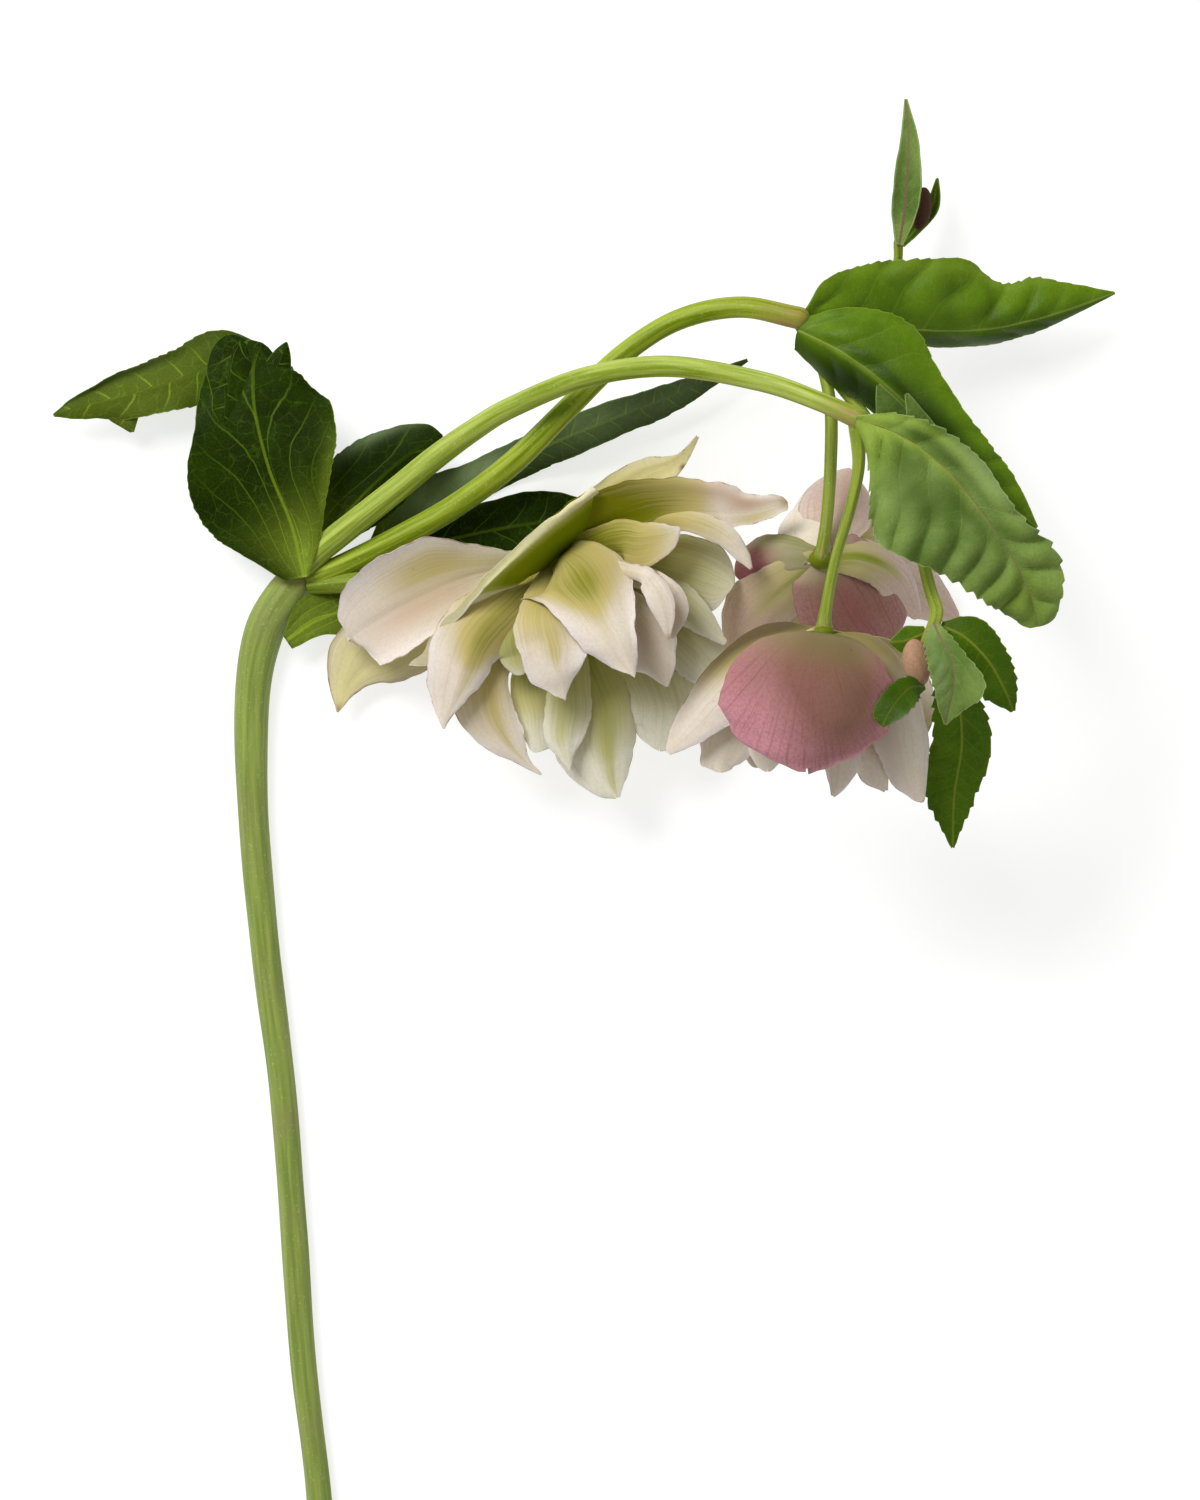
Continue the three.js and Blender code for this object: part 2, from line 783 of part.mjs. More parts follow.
const frontBloomPetals = [
  // The near sepal, and the ones at its two sides.
  {
    rows: 8,
    columns: 6,
    cup: [-50, -60, -60, -45],
    facing: [[0, 1, 0.7], [0, 0.3, 1], [0, -0.1, 1], [0, -0.3, 1]],
    stations: [
      [94.6, -8.6, 56, 14, 12],
      [93.4, -15, 63, 17.6, 18],
      [92.6, -24, 65.5, 16.4, 16.4],
      [93, -32.2, 62.5, 6, 5],
    ],
  },
  {
    cup: [-40],
    rows: 6,
    facing: [[0.3, 0.8, 0.6], [0.5, 0.2, 0.8], [0.3, 0, 1]],
    stations: [
      [105, -10, 51, 4.6, 6],
      [110.4, -19, 52.4, 4.6, 7.6],
      [112.6, -29, 50, 4, 7.4],
      [113, -37.4, 46.5, 2, 2.4],
    ],
  },
  {
    cup: [-50, -55, -30],
    rows: 6,
    facing: [[-0.3, 0.8, 0.6], [-0.4, 0.2, 0.9], [-0.3, 0, 1]],
    stations: [[85, -9.6, 45, 6, 4.4], [76.8, -18.6, 44, 6.6, 3.6], [68.4, -29, 41, 0.8, 0.8]],
  },
  // The pale petals that hang below them.
  {
    cup: [-20],
    stations: [
      [84, -18, 41, 5, 5],
      [79, -27, 40, 5.4, 6.4],
      [77.8, -32.8, 38.6, 2.6, 4.7],
    ],
  },
  { cup: [-20], stations: [[88, -18, 47, 4, 4], [85.6, -26, 48, 4.4, 4], [85.6, -32, 46.5, 3, 2]] },
  {
    cup: [-20],
    stations: [
      [97.4, -20, 48, 4, 4],
      [98.4, -29, 49, 4.6, 4],
      [98.2, -34, 48.4, 2.7, 2.6],
      [97.3, -37, 47.4, 0.4, 0.4],
    ],
  },
  {
    cup: [-20],
    stations: [
      [102, -20, 47, 4.4, 4.4],
      [105, -29, 48, 3.4, 4.6],
      [105.6, -33, 47.6, 2.6, 3.8],
      [106.5, -36, 46.5, 0.4, 0.4],
    ],
  },
  // The far side of the bell.
  {
    cup: [40],
    facing: [[0, -0.6, 1], [0, -0.2, 1], [0, 0.2, 1]],
    stations: [
      [86, -12, 35, 7, 7],
      [82, -21, 31, 8.4, 8.4],
      [84, -32, 32, 1, 1],
    ],
  },
  {
    cup: [40],
    facing: [[0, -0.6, 1], [0, -0.2, 1], [0, 0.2, 1]],
    stations: [
      [97, -12.6, 32.5, 8, 8],
      [97.6, -21.5, 27.6, 9, 9],
      [98, -32, 29.4, 1, 1],
    ],
  },
  {
    cup: [40],
    facing: [[0, -0.6, 1], [0, -0.2, 1], [0, 0.2, 1]],
    stations: [
      [106, -13, 37, 6, 6],
      [109.4, -22, 35, 7, 7],
      [109, -33, 36, 1, 1],
    ],
  },
];

const backBloomPetals = [
  {
    cup: [-35],
    facing: [[-0.4, 0, 1]],
    stations: [
      [88.4, 6.4, 24, 3.4, 4],
      [83.6, 4.6, 18, 4.8, 4.8],
      [80, 1.9, 12.6, 2, 2],
    ],
  },
  { cup: [-25], facing: [[-0.3, 0.5, 1]], stations: [[92, 12, 22, 5.6, 5], [92, 18, 14, 1.2, 3]] },
  {
    cup: [-30],
    facing: [[0, 0.6, 1]],
    stations: [
      [98.2, 13, 21.6, 7, 6],
      [99.6, 18.6, 15, 6.6, 5.6],
      [101, 22.2, 9, 2, 1],
    ],
  },
  {
    cup: [-30],
    facing: [[0.4, 0.3, 1]],
    stations: [
      [103.4, 5.4, 24.6, 4.4, 3.6],
      [109.6, 2, 18, 4.8, 4.4],
      [113.6, -4.8, 11, 1, 1.4],
    ],
  },
  {
    cup: [-20],
    facing: [[0.4, 0, 1]],
    stations: [
      [106, 4, 18, 4.8, 4.4],
      [114.6, 0, 9, 4.4, 5.6],
      [121, -5, 0.1, 0.8, 0.8],
    ],
  },
  {
    cup: [-45],
    facing: [[0.2, -0.4, 1]],
    rows: 6,
    stations: [
      [98.6, 0.6, 26.4, 9, 7],
      [102, -5, 21.6, 11, 9],
      [105.4, -11, 15, 9.5, 3],
    ],
  },
  {
    cup: [-25],
    facing: [[-0.2, -0.4, 1]],
    stations: [
      [89, 0.6, 22, 5.4, 5],
      [83.6, -5, 14, 6, 6.4],
      [79.6, -12.6, 5, 2, 2],
    ],
  },
  // The inner petals, under the sepals.
  { stations: [[93, -3, 18, 4.4, 4.4], [91, -9, 8, 4, 4], [90.4, -12, 0.1, 0.8, 0.8]] },
  { stations: [[101, 10, 17, 4.4, 4.4], [105.6, 13.4, 7, 4, 4], [107.6, 15, 0.1, 0.8, 0.8]] },
  { stations: [[90, 6, 17, 3.6, 3.6], [86, 4.4, 8, 3.4, 3.4], [84.6, 3.6, 2, 0.6, 0.6]] },
];

// ---------------------------------------------------------------- the plant

const stems = [
  ["main_stem", mainStem, STEM],
  ["front_branch", frontBranch, BRANCH],
  ["back_branch", backBranch, BRANCH],
  ["big_bloom_stalk", bigBloomStalk, BRANCH],
  ["front_bloom_stalk", frontBloomStalk, BRANCH],
  ["back_bloom_stalk", backBloomStalk, BRANCH],
  ["nodding_bud_stalk", noddingBudStalk, BRANCH],
  ["upright_bud_stalk", uprightBudStalk, BRANCH],
];
const receptacles = [bigReceptacle, frontReceptacle, backReceptacle];
const grownReceptacles = receptacles.map(([at, radii]) => ball(at, radii, 0, GAP));
const grownBuds = [noddingBud, uprightBud].map(([at, radii, tilt]) => ball(at, radii, tilt, GAP));
const grownStems = stems.map(([, spec]) => stalk(spec, GAP));

stems.forEach(([name, spec, material], i) => {
  const others = [...grownStems.slice(0, i), ...grownReceptacles, ...grownBuds];
  addPart(name, resting(clearOf(stalk(spec), others)), material);
});

function addLeaf(name, blades, material) {
  addPart(name, clearOf(fused(blades.map(leaf)), [...grownStems, ...grownBuds]), material);
}

addLeaf("left_bract", leftBract, DARK_LEAF);
addLeaf("upper_bract", [upperBract], DARK_LEAF);
addLeaf("long_bract", [longBract], DARK_LEAF);
addLeaf("hidden_bract", [hiddenBract], DARK_LEAF);
addLeaf("lower_bract", [lowerBract], DARK_LEAF);
addLeaf("far_leaf", [farLeaf], LEAF);
addLeaf("near_leaf", [nearLeaf], LEAF);
addLeaf("big_leaf", bigLeaf, LEAF);
noddingBudBracts.forEach((blade, i) => addLeaf(`nodding_bud_bract_${i + 1}`, [blade], LEAF));
uprightBudBracts.forEach((blade, i) => addLeaf(`upright_bud_bract_${i + 1}`, [blade], LEAF));
addPart("nodding_bud", ball(...noddingBud), BUD);
addPart("upright_bud", ball(...uprightBud), BUD);

function addBloom(name, petals, [at, radii], material) {
  const root = [...at, PETAL_ROOT_HALF_WIDTH, PETAL_ROOT_HALF_WIDTH];
  const rooted = ({ stations, ...form }) => ({ stations: [root, ...stations], ...form });
  const bloom = fused([ball(at, radii), ...petals.map((petal) => plate(rooted(petal)))]);
  addPart(name, resting(clearOf(bloom, grownStems)), material);
}

addBloom("big_bloom", bigBloomPetals, bigReceptacle, PALE_PETAL);
addBloom("front_bloom", frontBloomPetals, frontReceptacle, PINK_PETAL);
addBloom("back_bloom", backBloomPetals, backReceptacle, PINK_PETAL);

export default plant;
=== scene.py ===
import math

import bpy
import numpy as np
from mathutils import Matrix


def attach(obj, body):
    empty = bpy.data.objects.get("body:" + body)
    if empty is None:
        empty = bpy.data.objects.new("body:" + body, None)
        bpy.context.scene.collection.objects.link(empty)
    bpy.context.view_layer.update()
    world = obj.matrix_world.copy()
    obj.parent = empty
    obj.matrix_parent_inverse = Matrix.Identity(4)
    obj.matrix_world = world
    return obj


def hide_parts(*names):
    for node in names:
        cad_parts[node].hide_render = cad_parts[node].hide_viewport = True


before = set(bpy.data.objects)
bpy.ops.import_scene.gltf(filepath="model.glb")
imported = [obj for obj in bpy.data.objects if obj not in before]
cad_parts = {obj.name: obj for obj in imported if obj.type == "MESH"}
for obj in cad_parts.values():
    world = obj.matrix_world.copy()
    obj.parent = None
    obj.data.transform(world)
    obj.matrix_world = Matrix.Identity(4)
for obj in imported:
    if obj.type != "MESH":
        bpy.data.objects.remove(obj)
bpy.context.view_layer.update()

# ---------------------------------------------------------------------------
# The main stem: one thick, juicy flower stem, cut across at its lower end. It
# is living tissue under a thin waxed skin, faintly ridged along its length.
# ---------------------------------------------------------------------------

MM = 0.001
# How far the waves of a piece are shifted at random: up to about one turn.
FULL_TURN = 6.28

# From the cut end up: x, y, z and radius in mm.
MAIN_STEM = [
    (5.9, -190, 2, 2.2), (4.9, -165, 2.05, 2.25), (2, -140, 2.1, 2.3), (0.2, -115, 2.15, 2.35),
    (-1.8, -90, 2.2, 2.4), (-4.9, -65, 2.3, 2.5), (-7.1, -40, 2.5, 2.75), (-7.3, -20, 2.8, 3.05),
    (-5.3, -8, 3.1, 3.4), (-1.5, -1, 3.15, 3.5), (2, 3.5, 2.7, 2.9),
]


def colour(code):
    """An sRGB hex value as the linear colour that a shader takes."""
    parts = [int(code[i : i + 2], 16) / 255 for i in (1, 3, 5)]
    return [c / 12.92 if c <= 0.04045 else ((c + 0.055) / 1.055) ** 2.4 for c in parts] + [1]


def add_node(tree, kind, inputs=(), **settings):
    """Adds a shader node. An input that is given as a node takes its first output."""
    node = tree.nodes.new("ShaderNode" + kind)
    for name, value in settings.items():
        setattr(node, name, value)
    for name, value in dict(inputs).items():
        if isinstance(value, bpy.types.Node):
            value = value.outputs[0]
        if isinstance(value, bpy.types.NodeSocket):
            tree.links.new(value, node.inputs[name])
        else:
            node.inputs[name].default_value = value
    return node


def new_skin(name, **sockets):
    """A material with its shader's plain values set, and the tree to build on."""
    skin = bpy.data.materials.new(name)
    skin.use_nodes = True
    shader = skin.node_tree.nodes["Principled BSDF"]
    for title, value in sockets.items():
        shader.inputs[title.replace("_", " ")].default_value = value
    return skin, skin.node_tree, shader


def through(points, places):
    """A smooth curve through evenly spaced stations, read at places from 0 to 1."""
    points = np.asarray(points, float)
    padded = np.vstack([2 * points[0] - points[1], points, 2 * points[-1] - points[-2]])
    place = np.clip(places, 0, 1) * (len(points) - 1)
    passed = np.minimum(place.astype(int), len(points) - 2)
    share = (place - passed)[:, None]
    before, start, end, after = (padded[passed + k] for k in range(4))
    leave, arrive = (end - before) / 2, (after - start) / 2
    bend = -3 * start + 3 * end - 2 * leave - arrive
    tail = 2 * start - 2 * end + leave + arrive
    return start + leave * share + bend * share**2 + tail * share**3


def unit(vectors):
    """The same vectors, each with a length of one."""
    return vectors / np.linalg.norm(vectors, axis=-1, keepdims=True)


def run_length(stations):
    """The length of the line through the stations, in mm."""
    return np.linalg.norm(np.diff(stations[:, :3], axis=0), axis=1).sum()


def follow(stations, places):
    """The curve of the stations: its points, its tangents and the length run so far."""
    nearby = 0.004
    spine, ahead, behind = (through(stations[:, :3], places + k * nearby) for k in (0, 1, -1))
    runs = np.linalg.norm(np.diff(spine, axis=0), axis=1)
    return spine, unit(ahead - behind), np.concatenate([[0], np.cumsum(runs)])


def grid_faces(rows, columns, closed=False):
    """The squares between neighbouring rows of points, closed into rings or open."""
    row, column = np.meshgrid(np.arange(rows - 1), np.arange(columns - (not closed)), indexing="ij")
    here, beside = row * columns + column, row * columns + (column + 1) % columns
    corners = (here, beside, beside + columns, here + columns)
    return np.stack([corner.ravel() for corner in corners], axis=1).tolist()


def add_piece(name, points, faces, skin, slot, node, **attributes):
    """Makes one piece from points in mm, in the place of its CAD node."""
    mesh = bpy.data.meshes.new(name)
    mesh.from_pydata((points * MM).tolist(), [], faces)
    mesh.polygons.foreach_set("use_smooth", np.ones(len(mesh.polygons), bool))
    for title, values in attributes.items():
        layer = mesh.attributes.new(title, "FLOAT_VECTOR", "POINT")
        layer.data.foreach_set("vector", np.asarray(values, np.float32).ravel())
    mesh.materials.append(skin)
    piece = bpy.data.objects.new(name, mesh)
    bpy.context.scene.collection.objects.link(piece)
    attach(piece, "root")
    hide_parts(node)


def add_stem(node, stations, skin, slot, ridges, ridge, seed):
    """A round ridged stem along its stations, cut across at its start and rounded at its end."""
    sides, row, thinnest, lowest = 40, 0.8, 0.3, 0.02
    cut, dome = (0.05, 0.5, 0.85, 0.96), (0.98, 0.93, 0.82, 0.65, 0.4, 0.05)
    stations = np.asarray(stations, float)
    places = np.linspace(0, 1, int(run_length(stations) / row) + 2)
    spine, tangent, far = follow(stations, places)
    radius = np.maximum(through(stations[:, 3:], places)[:, 0], thinnest)
    right = unit(np.cross(tangent, [0.0, 0.0, 1.0]))
    up = np.cross(right, tangent)
    shift = np.random.default_rng(seed).uniform(0, FULL_TURN, 4)
    turn = np.linspace(0, 2 * math.pi, sides, endpoint=False)
    # It swells and thins by about 2 % on its way, and its ridges wind slowly round it.
    swell = 1 + 0.02 * np.sin(far / 9 + shift[0]) + 0.012 * np.sin(far / 3.7 + shift[1])
    ring = 1 + ridge * np.cos(ridges * turn + 0.01 * far[:, None] + shift[2])
    reach = (radius * swell)[:, None] * ring
    last = len(places) - 1
    rows = [(0, fraction) for fraction in cut] + [(k, 1) for k in range(last + 1)]
    rows += [(last, fraction) for fraction in dome]
    # grain is a place on its skin in mm, depth how far out from the pith and how far along it is.
    points, grain, depth = [], [], []
    for count, (k, fraction) in enumerate(rows):
        around = np.cos(turn)[:, None] * right[k] + np.sin(turn)[:, None] * up[k]
        bulge = math.sqrt(1 - fraction**2) * radius[k] if count > last else 0
        points.append(spine[k] + tangent[k] * bulge + around * (reach[k] * fraction)[:, None])
        grain.append(around @ np.stack([right[k], up[k], 0 * up[k]], 1) * radius[k])
        grain[-1][:, 2] = far[k]
        depth.append(np.tile([1 if count > last else fraction, places[k], seed], (sides, 1)))
    points = np.vstack(points)
    points[:, 2] = np.maximum(points[:, 2], lowest)
    faces = [face[::-1] for face in grid_faces(len(rows), sides, closed=True)]
    faces += [list(range(sides)), list(range(sides * (len(rows) - 1), sides * len(rows)))[::-1]]
    grain, depth = np.vstack(grain), np.vstack(depth)
    add_piece(node, points, faces, skin, slot, node, grain=grain, depth=depth)


def stem_skin(name, light, dark, flush, gloss=0.42):
    """Fresh stem skin: long pale and deep streaks, a soft waxy gloss, a pale pith where cut."""
    skin, tree, shader = new_skin(
        name, Roughness=gloss, IOR=1.42, Specular_IOR_Level=0.2, Subsurface_Weight=0.15,
        Subsurface_Radius=(0.8, 1.0, 0.1), Subsurface_Scale=0.001,
    )
    grain, depth = (
        add_node(tree, "Attribute", attribute_name=title).outputs["Vector"]
        for title in ("grain", "depth")
    )
    ring, place, _ = add_node(tree, "SeparateXYZ", {"Vector": depth}).outputs
    # Streaks about 0.8 mm apart and 17 mm long, blushed patches of 11 mm and pits of 0.5 mm.
    long_grain = add_node(tree, "Mapping", {"Vector": grain, "Scale": (1.2, 1.2, 0.06)})
    streaks, patches, pits = (
        add_node(tree, "TexNoise", {"Vector": vector, "Scale": scale, "Detail": detail})
        for vector, scale, detail in ((long_grain, 1.0, 4.0), (grain, 0.09, 3.0), (grain, 2.2, 2.0))
    )
    # Where each shows: fibres, blush, pits, the pith of the cut and the scar at a node.
    fibres, blush, pale, pith, scar = (
        add_node(tree, "MapRange", {"Value": value, "From Min": low, "From Max": high, "To Max": most})
        for value, low, high, most in (
            (streaks, 0.35, 0.65, 1.0), (patches, 0.5, 0.75, 0.55), (pits, 0.62, 0.72, 0.3),
            (ring, 0.97, 0.9, 1.0), (place, 0.9, 0.98, 0.75),
        )
    )
    scar = add_node(tree, "Math", {0: scar, 1: fibres}, operation="MULTIPLY")
    tint = colour(dark)
    for share, code in (
        (fibres, light), (blush, flush), (pale, "#C3D088"), (pith, "#DDE3BE"), (scar, "#94704A"),
    ):
        tint = add_node(tree, "MixRGB", {"Fac": share, "Color1": tint, "Color2": colour(code)})
    tree.links.new(tint.outputs[0], shader.inputs["Base Color"])
    relief = add_node(tree, "Bump", {"Height": streaks, "Strength": 0.35, "Distance": 0.0003})
    tree.links.new(relief.outputs[0], shader.inputs["Normal"])
    return skin


# A greyish green with low contrast: the old, tough end of the plant, with a satin sheen.
main_skin = stem_skin("waxy_main_stem", light="#8F9E4C", dark="#74863A", flush="#888456", gloss=0.45)
add_stem("main_stem", MAIN_STEM, main_skin, "stem", ridges=6, ridge=0.035, seed=3)

# ---------------------------------------------------------------------------
# The branches and flower stalks: younger and brighter than the main stem, of
# the same juicy tissue. Each grew out of the node below it.
# ---------------------------------------------------------------------------

# From the node up: x, y, z and radius in mm.
BRANCHES = {
    "front_branch": [
        (1.5, 4, 5, 2.3), (5.4, 7.6, 6.6, 2.4), (12, 12.8, 9.3, 2.35), (19, 18.3, 11.7, 2.3),
        (26, 24, 13.8, 2.2), (33, 29, 16, 2.1), (40, 33.1, 19, 2), (53.3, 38.3, 25, 1.95),
        (68, 40.1, 32, 1.9), (84.3, 37.3, 40, 1.85), (94.6, 33.7, 44.5, 1.8), (102, 30.4, 46.5, 1.9),
    ],
    "back_branch": [
        (3, 2, 4.2, 2), (10, 5, 6, 2.2), (20, 9.9, 8.5, 2.25), (30, 15.6, 10.5, 2.2),
        (40, 23.1, 13, 2.15), (50, 32.9, 15.5, 2.1), (60, 42.6, 17.5, 2), (70, 48.8, 19.5, 1.95),
        (81, 51, 22, 1.95), (91.5, 49, 24.5, 2.1),
    ],
    "big_bloom_stalk": [
        (3, 1, 4.6, 1.6), (12, 1.6, 7, 1.8), (24, 3, 10, 1.8), (36, 5, 12, 1.8), (47.5, 6, 13, 2),
    ],
    "front_bloom_stalk": [
        (101.5, 30, 46, 1.4), (102, 22, 46, 1.1), (100.4, 14, 46, 1), (97.8, 5, 46, 0.95),
        (96.1, -4, 46, 1.1), (95.8, -7, 46, 1.6),
    ],
    "back_bloom_stalk": [
        (91.5, 48, 24, 1), (95.5, 41, 22, 1.05), (97.3, 33, 22, 1.1), (97.3, 23, 24, 1.1),
        (96.6, 13, 27, 1.1), (95.5, 6, 29.5, 1.2),
    ],
    "nodding_bud_stalk": [
        (92.5, 47.5, 23, 1), (98, 38.5, 20, 1.1), (104, 30.5, 24, 1.1), (109, 20, 33, 1.1),
        (112.6, 9, 41, 1.1), (114.8, 0, 47, 1.15), (115.9, -4.5, 51, 1.15), (114, -9.5, 54, 1),
    ],
    "upright_bud_stalk": [
        (92, 49.5, 22, 0.8), (100, 51, 12, 0.8), (107, 54.5, 9, 0.8), (109.5, 59, 9.5, 0.8),
        (109.8, 63, 10.5, 0.9),
    ],
}

# The front branch is the freshest green, with pale streaks that catch the light. The back
# one is more saturated, in the front one's shade, and the thin stalks are a warmer, duller green.
young_skin = stem_skin("waxy_young_branch", light="#AEBC58", dark="#788C1C", flush="#9AA640")
shaded_skin = stem_skin("waxy_shaded_branch", light="#A0B036", dark="#6C8006", flush="#929C2C")
stalk_skin = stem_skin("slender_flower_stalk", light="#95A43C", dark="#67790E", flush="#8A8640")
for number, (node, stations) in enumerate(BRANCHES.items()):
    skin = {"front_branch": young_skin, "back_branch": shaded_skin}.get(node, stalk_skin)
    ridges, ridge = (6, 0.025) if "branch" in node else (5, 0.06)
    add_stem(node, stations, skin, "branch", ridges, ridge, seed=number + 5)

# ---------------------------------------------------------------------------
# The dark bracts at the top of the main stem: thick, leathery, toothed leaves
# with a waxed skin. Their bases clasp the stem, and their veins stand up.
# ---------------------------------------------------------------------------

# The blades of each, from the root out. add_blade, below, says what the values are.
BRACTS = {
    "left_bract": [
        # Its broad blade, its long side lobe, that lobe's folded edge and two small points.
        dict(
            teeth=(0.35, 1.8), fan=-4, wave=(1.2, 2.5, 0.1), cup=(-12, -18, -10),
            facing=[(-0.1, -0.3, 1), (0, 0, 1), (0, 0.2, 1)],
            marks=[(0.04, 0.4, 0.14, 0.8, 0, 1.0), (0.22, 0.95, 0.16, 0.16, 0, 0.4)],
            stations=[
                (2.2, 2.6, 7.9, 3.6, 0.8), (0, 12, 11, 13.6, 6.4), (-4, 22, 12.5, 15.6, 13),
                (-6.5, 32, 12.5, 11.4, 13.8), (-7, 39, 11.4, 9, 9.4), (-6.4, 42.6, 10, 7, 7),
                (-5.4, 44.8, 9, 5.4, 4),
            ],
        ),
        dict(
            teeth=(0.4, 2.2), wave=(0.8, 2, 0.4), cup=[(-10, -30)],
            curl=[0, 0, (0, 60), (0, 90), (0, 60)], ribbed=False, veining=6.5,
            marks=[(0.5, 0, 0.7, 2, 0, 0.36), (0.6, 0.85, 0.4, 0.2, 2, 0.9)],
            stations=[
                (-5, 42.5, 8, 4, 2), (-12, 41.3, 7.6, 6.6, 6.6), (-19, 38.8, 7.2, 5.8, 5.8),
                (-25, 36.8, 7, 4.8, 5.2), (-30.4, 35.2, 7, 4.4, 4.6), (-35.4, 34, 6.6, 2.8, 3.2),
                (-39.4, 33, 6.3, 2, 2), (-43.2, 31.8, 6, 0.3, 0.3),
            ],
        ),
        dict(
            teeth=(0.25, 1.6), cup=[(-34, -6)], blunt=0.3, thick=0.4, ribbed=False,
            stations=[
                (-9.4, 45.2, 9.6, 3, 3), (-10.6, 42.6, 11.4, 6, 4), (-11.2, 39.2, 12.1, 6, 4.2),
                (-11.6, 35.4, 12.4, 5, 2.8), (-12, 32.4, 12.5, 2.6, 2.5), (-12.2, 30.2, 12.3, 1.6, 1.6),
            ],
        ),
        dict(
            cup=[-10], ribbed=False, marks=[(0.5, 0, 1, 2, 0, 0.3)],
            stations=[(-29.6, 34.4, 6.2, 2.2, 5), (-29.3, 31.6, 6, 1.5, 4), (-28.9, 28.8, 5.8, 0.3, 0.4)],
        ),
        dict(
            cup=[-10], ribbed=False,
            stations=[(-3, 39.6, 10.9, 2.4, 3.4), (-1.7, 42.8, 10.4, 1.6, 1.7), (-0.9, 45, 10, 0.2, 0.3)],
        ),
    ],
    "upper_bract": [dict(
        teeth=(0.3, 2.6), fan=-4, wave=(0.8, 2, 0.2), cup=[(-20, -12)],
        curl=[0, 0, (30, 0), (60, 0), (30, 0)],
        marks=[
            (0.08, 0, 0.2, 1.5, 0, 0.6), (0.66, -0.98, 0.22, 0.2, 1, 0.6), (0.6, 0.1, 0.3, 0.7, 2, 0.6),
        ],
        stations=[
            (4, 6, 3.6, 0.8, 0.8), (9, 13, 5, 7.4, 4.4), (14.5, 19, 6, 8.6, 6.4), (21, 24.6, 7, 6.2, 5),
            (27.3, 28.2, 8, 2.2, 1.4),
        ],
    )],
    "long_bract": [dict(
        teeth=(0.3, 3.2), wave=(0.7, 3, 0), cup=[-8],
        marks=[
            (0.32, -0.3, 0.07, 0.6, 1, 0.9), (0.44, -0.3, 0.07, 0.8, 1, 0.8),
            (0.75, 0, 0.22, 1.5, 1, 0.3), (0.2, -0.4, 0.08, 0.8, 0, 0.5),
        ],
        stations=[
            (8.4, 3.6, 2, 0.8, 0.8), (14.5, 8, 1.9, 1.2, 3), (22, 13.2, 1.3, 6, 4),
            (33, 19, 0.9, 4.6, 2.6), (46, 26.2, 2.4, 3.4, 3.7), (58, 31.2, 4.5, 3.2, 3.5),
            (70, 35.9, 6, 2.2, 2.8), (82.5, 41.8, 7, 0.3, 0.3),
        ],
    )],
    "hidden_bract": [dict(
        wave=(0.5, 2, 0.5), cup=[-8], marks=[(0.12, 0, 0.12, 2, 0, 0.4)],
        stations=[
            (5, 3, 3, 0.8, 0.8), (13, 4.4, 3.8, 1.6, 1.6), (24, 8.2, 4.6, 3, 4), (36, 11, 4.8, 5.2, 5),
            (46, 12.7, 4.8, 5.6, 4), (57, 15, 4.4, 0.8, 0.4),
        ],
    )],
    "lower_bract": [dict(
        cup=[10], wave=(0.4, 2, 0), fan=-4, marks=[(0.15, 0, 0.35, 2, 0, 0.6)],
        stations=[
            (-1, -9, 5.6, 1.2, 1.8), (4.4, -5.4, 4.6, 5, 3), (11, -3.4, 3.4, 3.6, 5),
            (18, -4.6, 2.2, 3, 5.8), (25, -8, 1.4, 1.8, 3), (28.5, -10.4, 1.2, 0.3, 0.3),
        ],
    )],
}


def halves(values, places, side):
    """Values spread along a blade, each one for both halves or a left and a right one."""
    pairs = np.array([value if np.ndim(value) else (value, value) for value in values], float)
    spots = np.linspace(0, 1, len(pairs))
    return np.stack([np.interp(places, spots, column) for column in pairs.T], 1)[:, side]


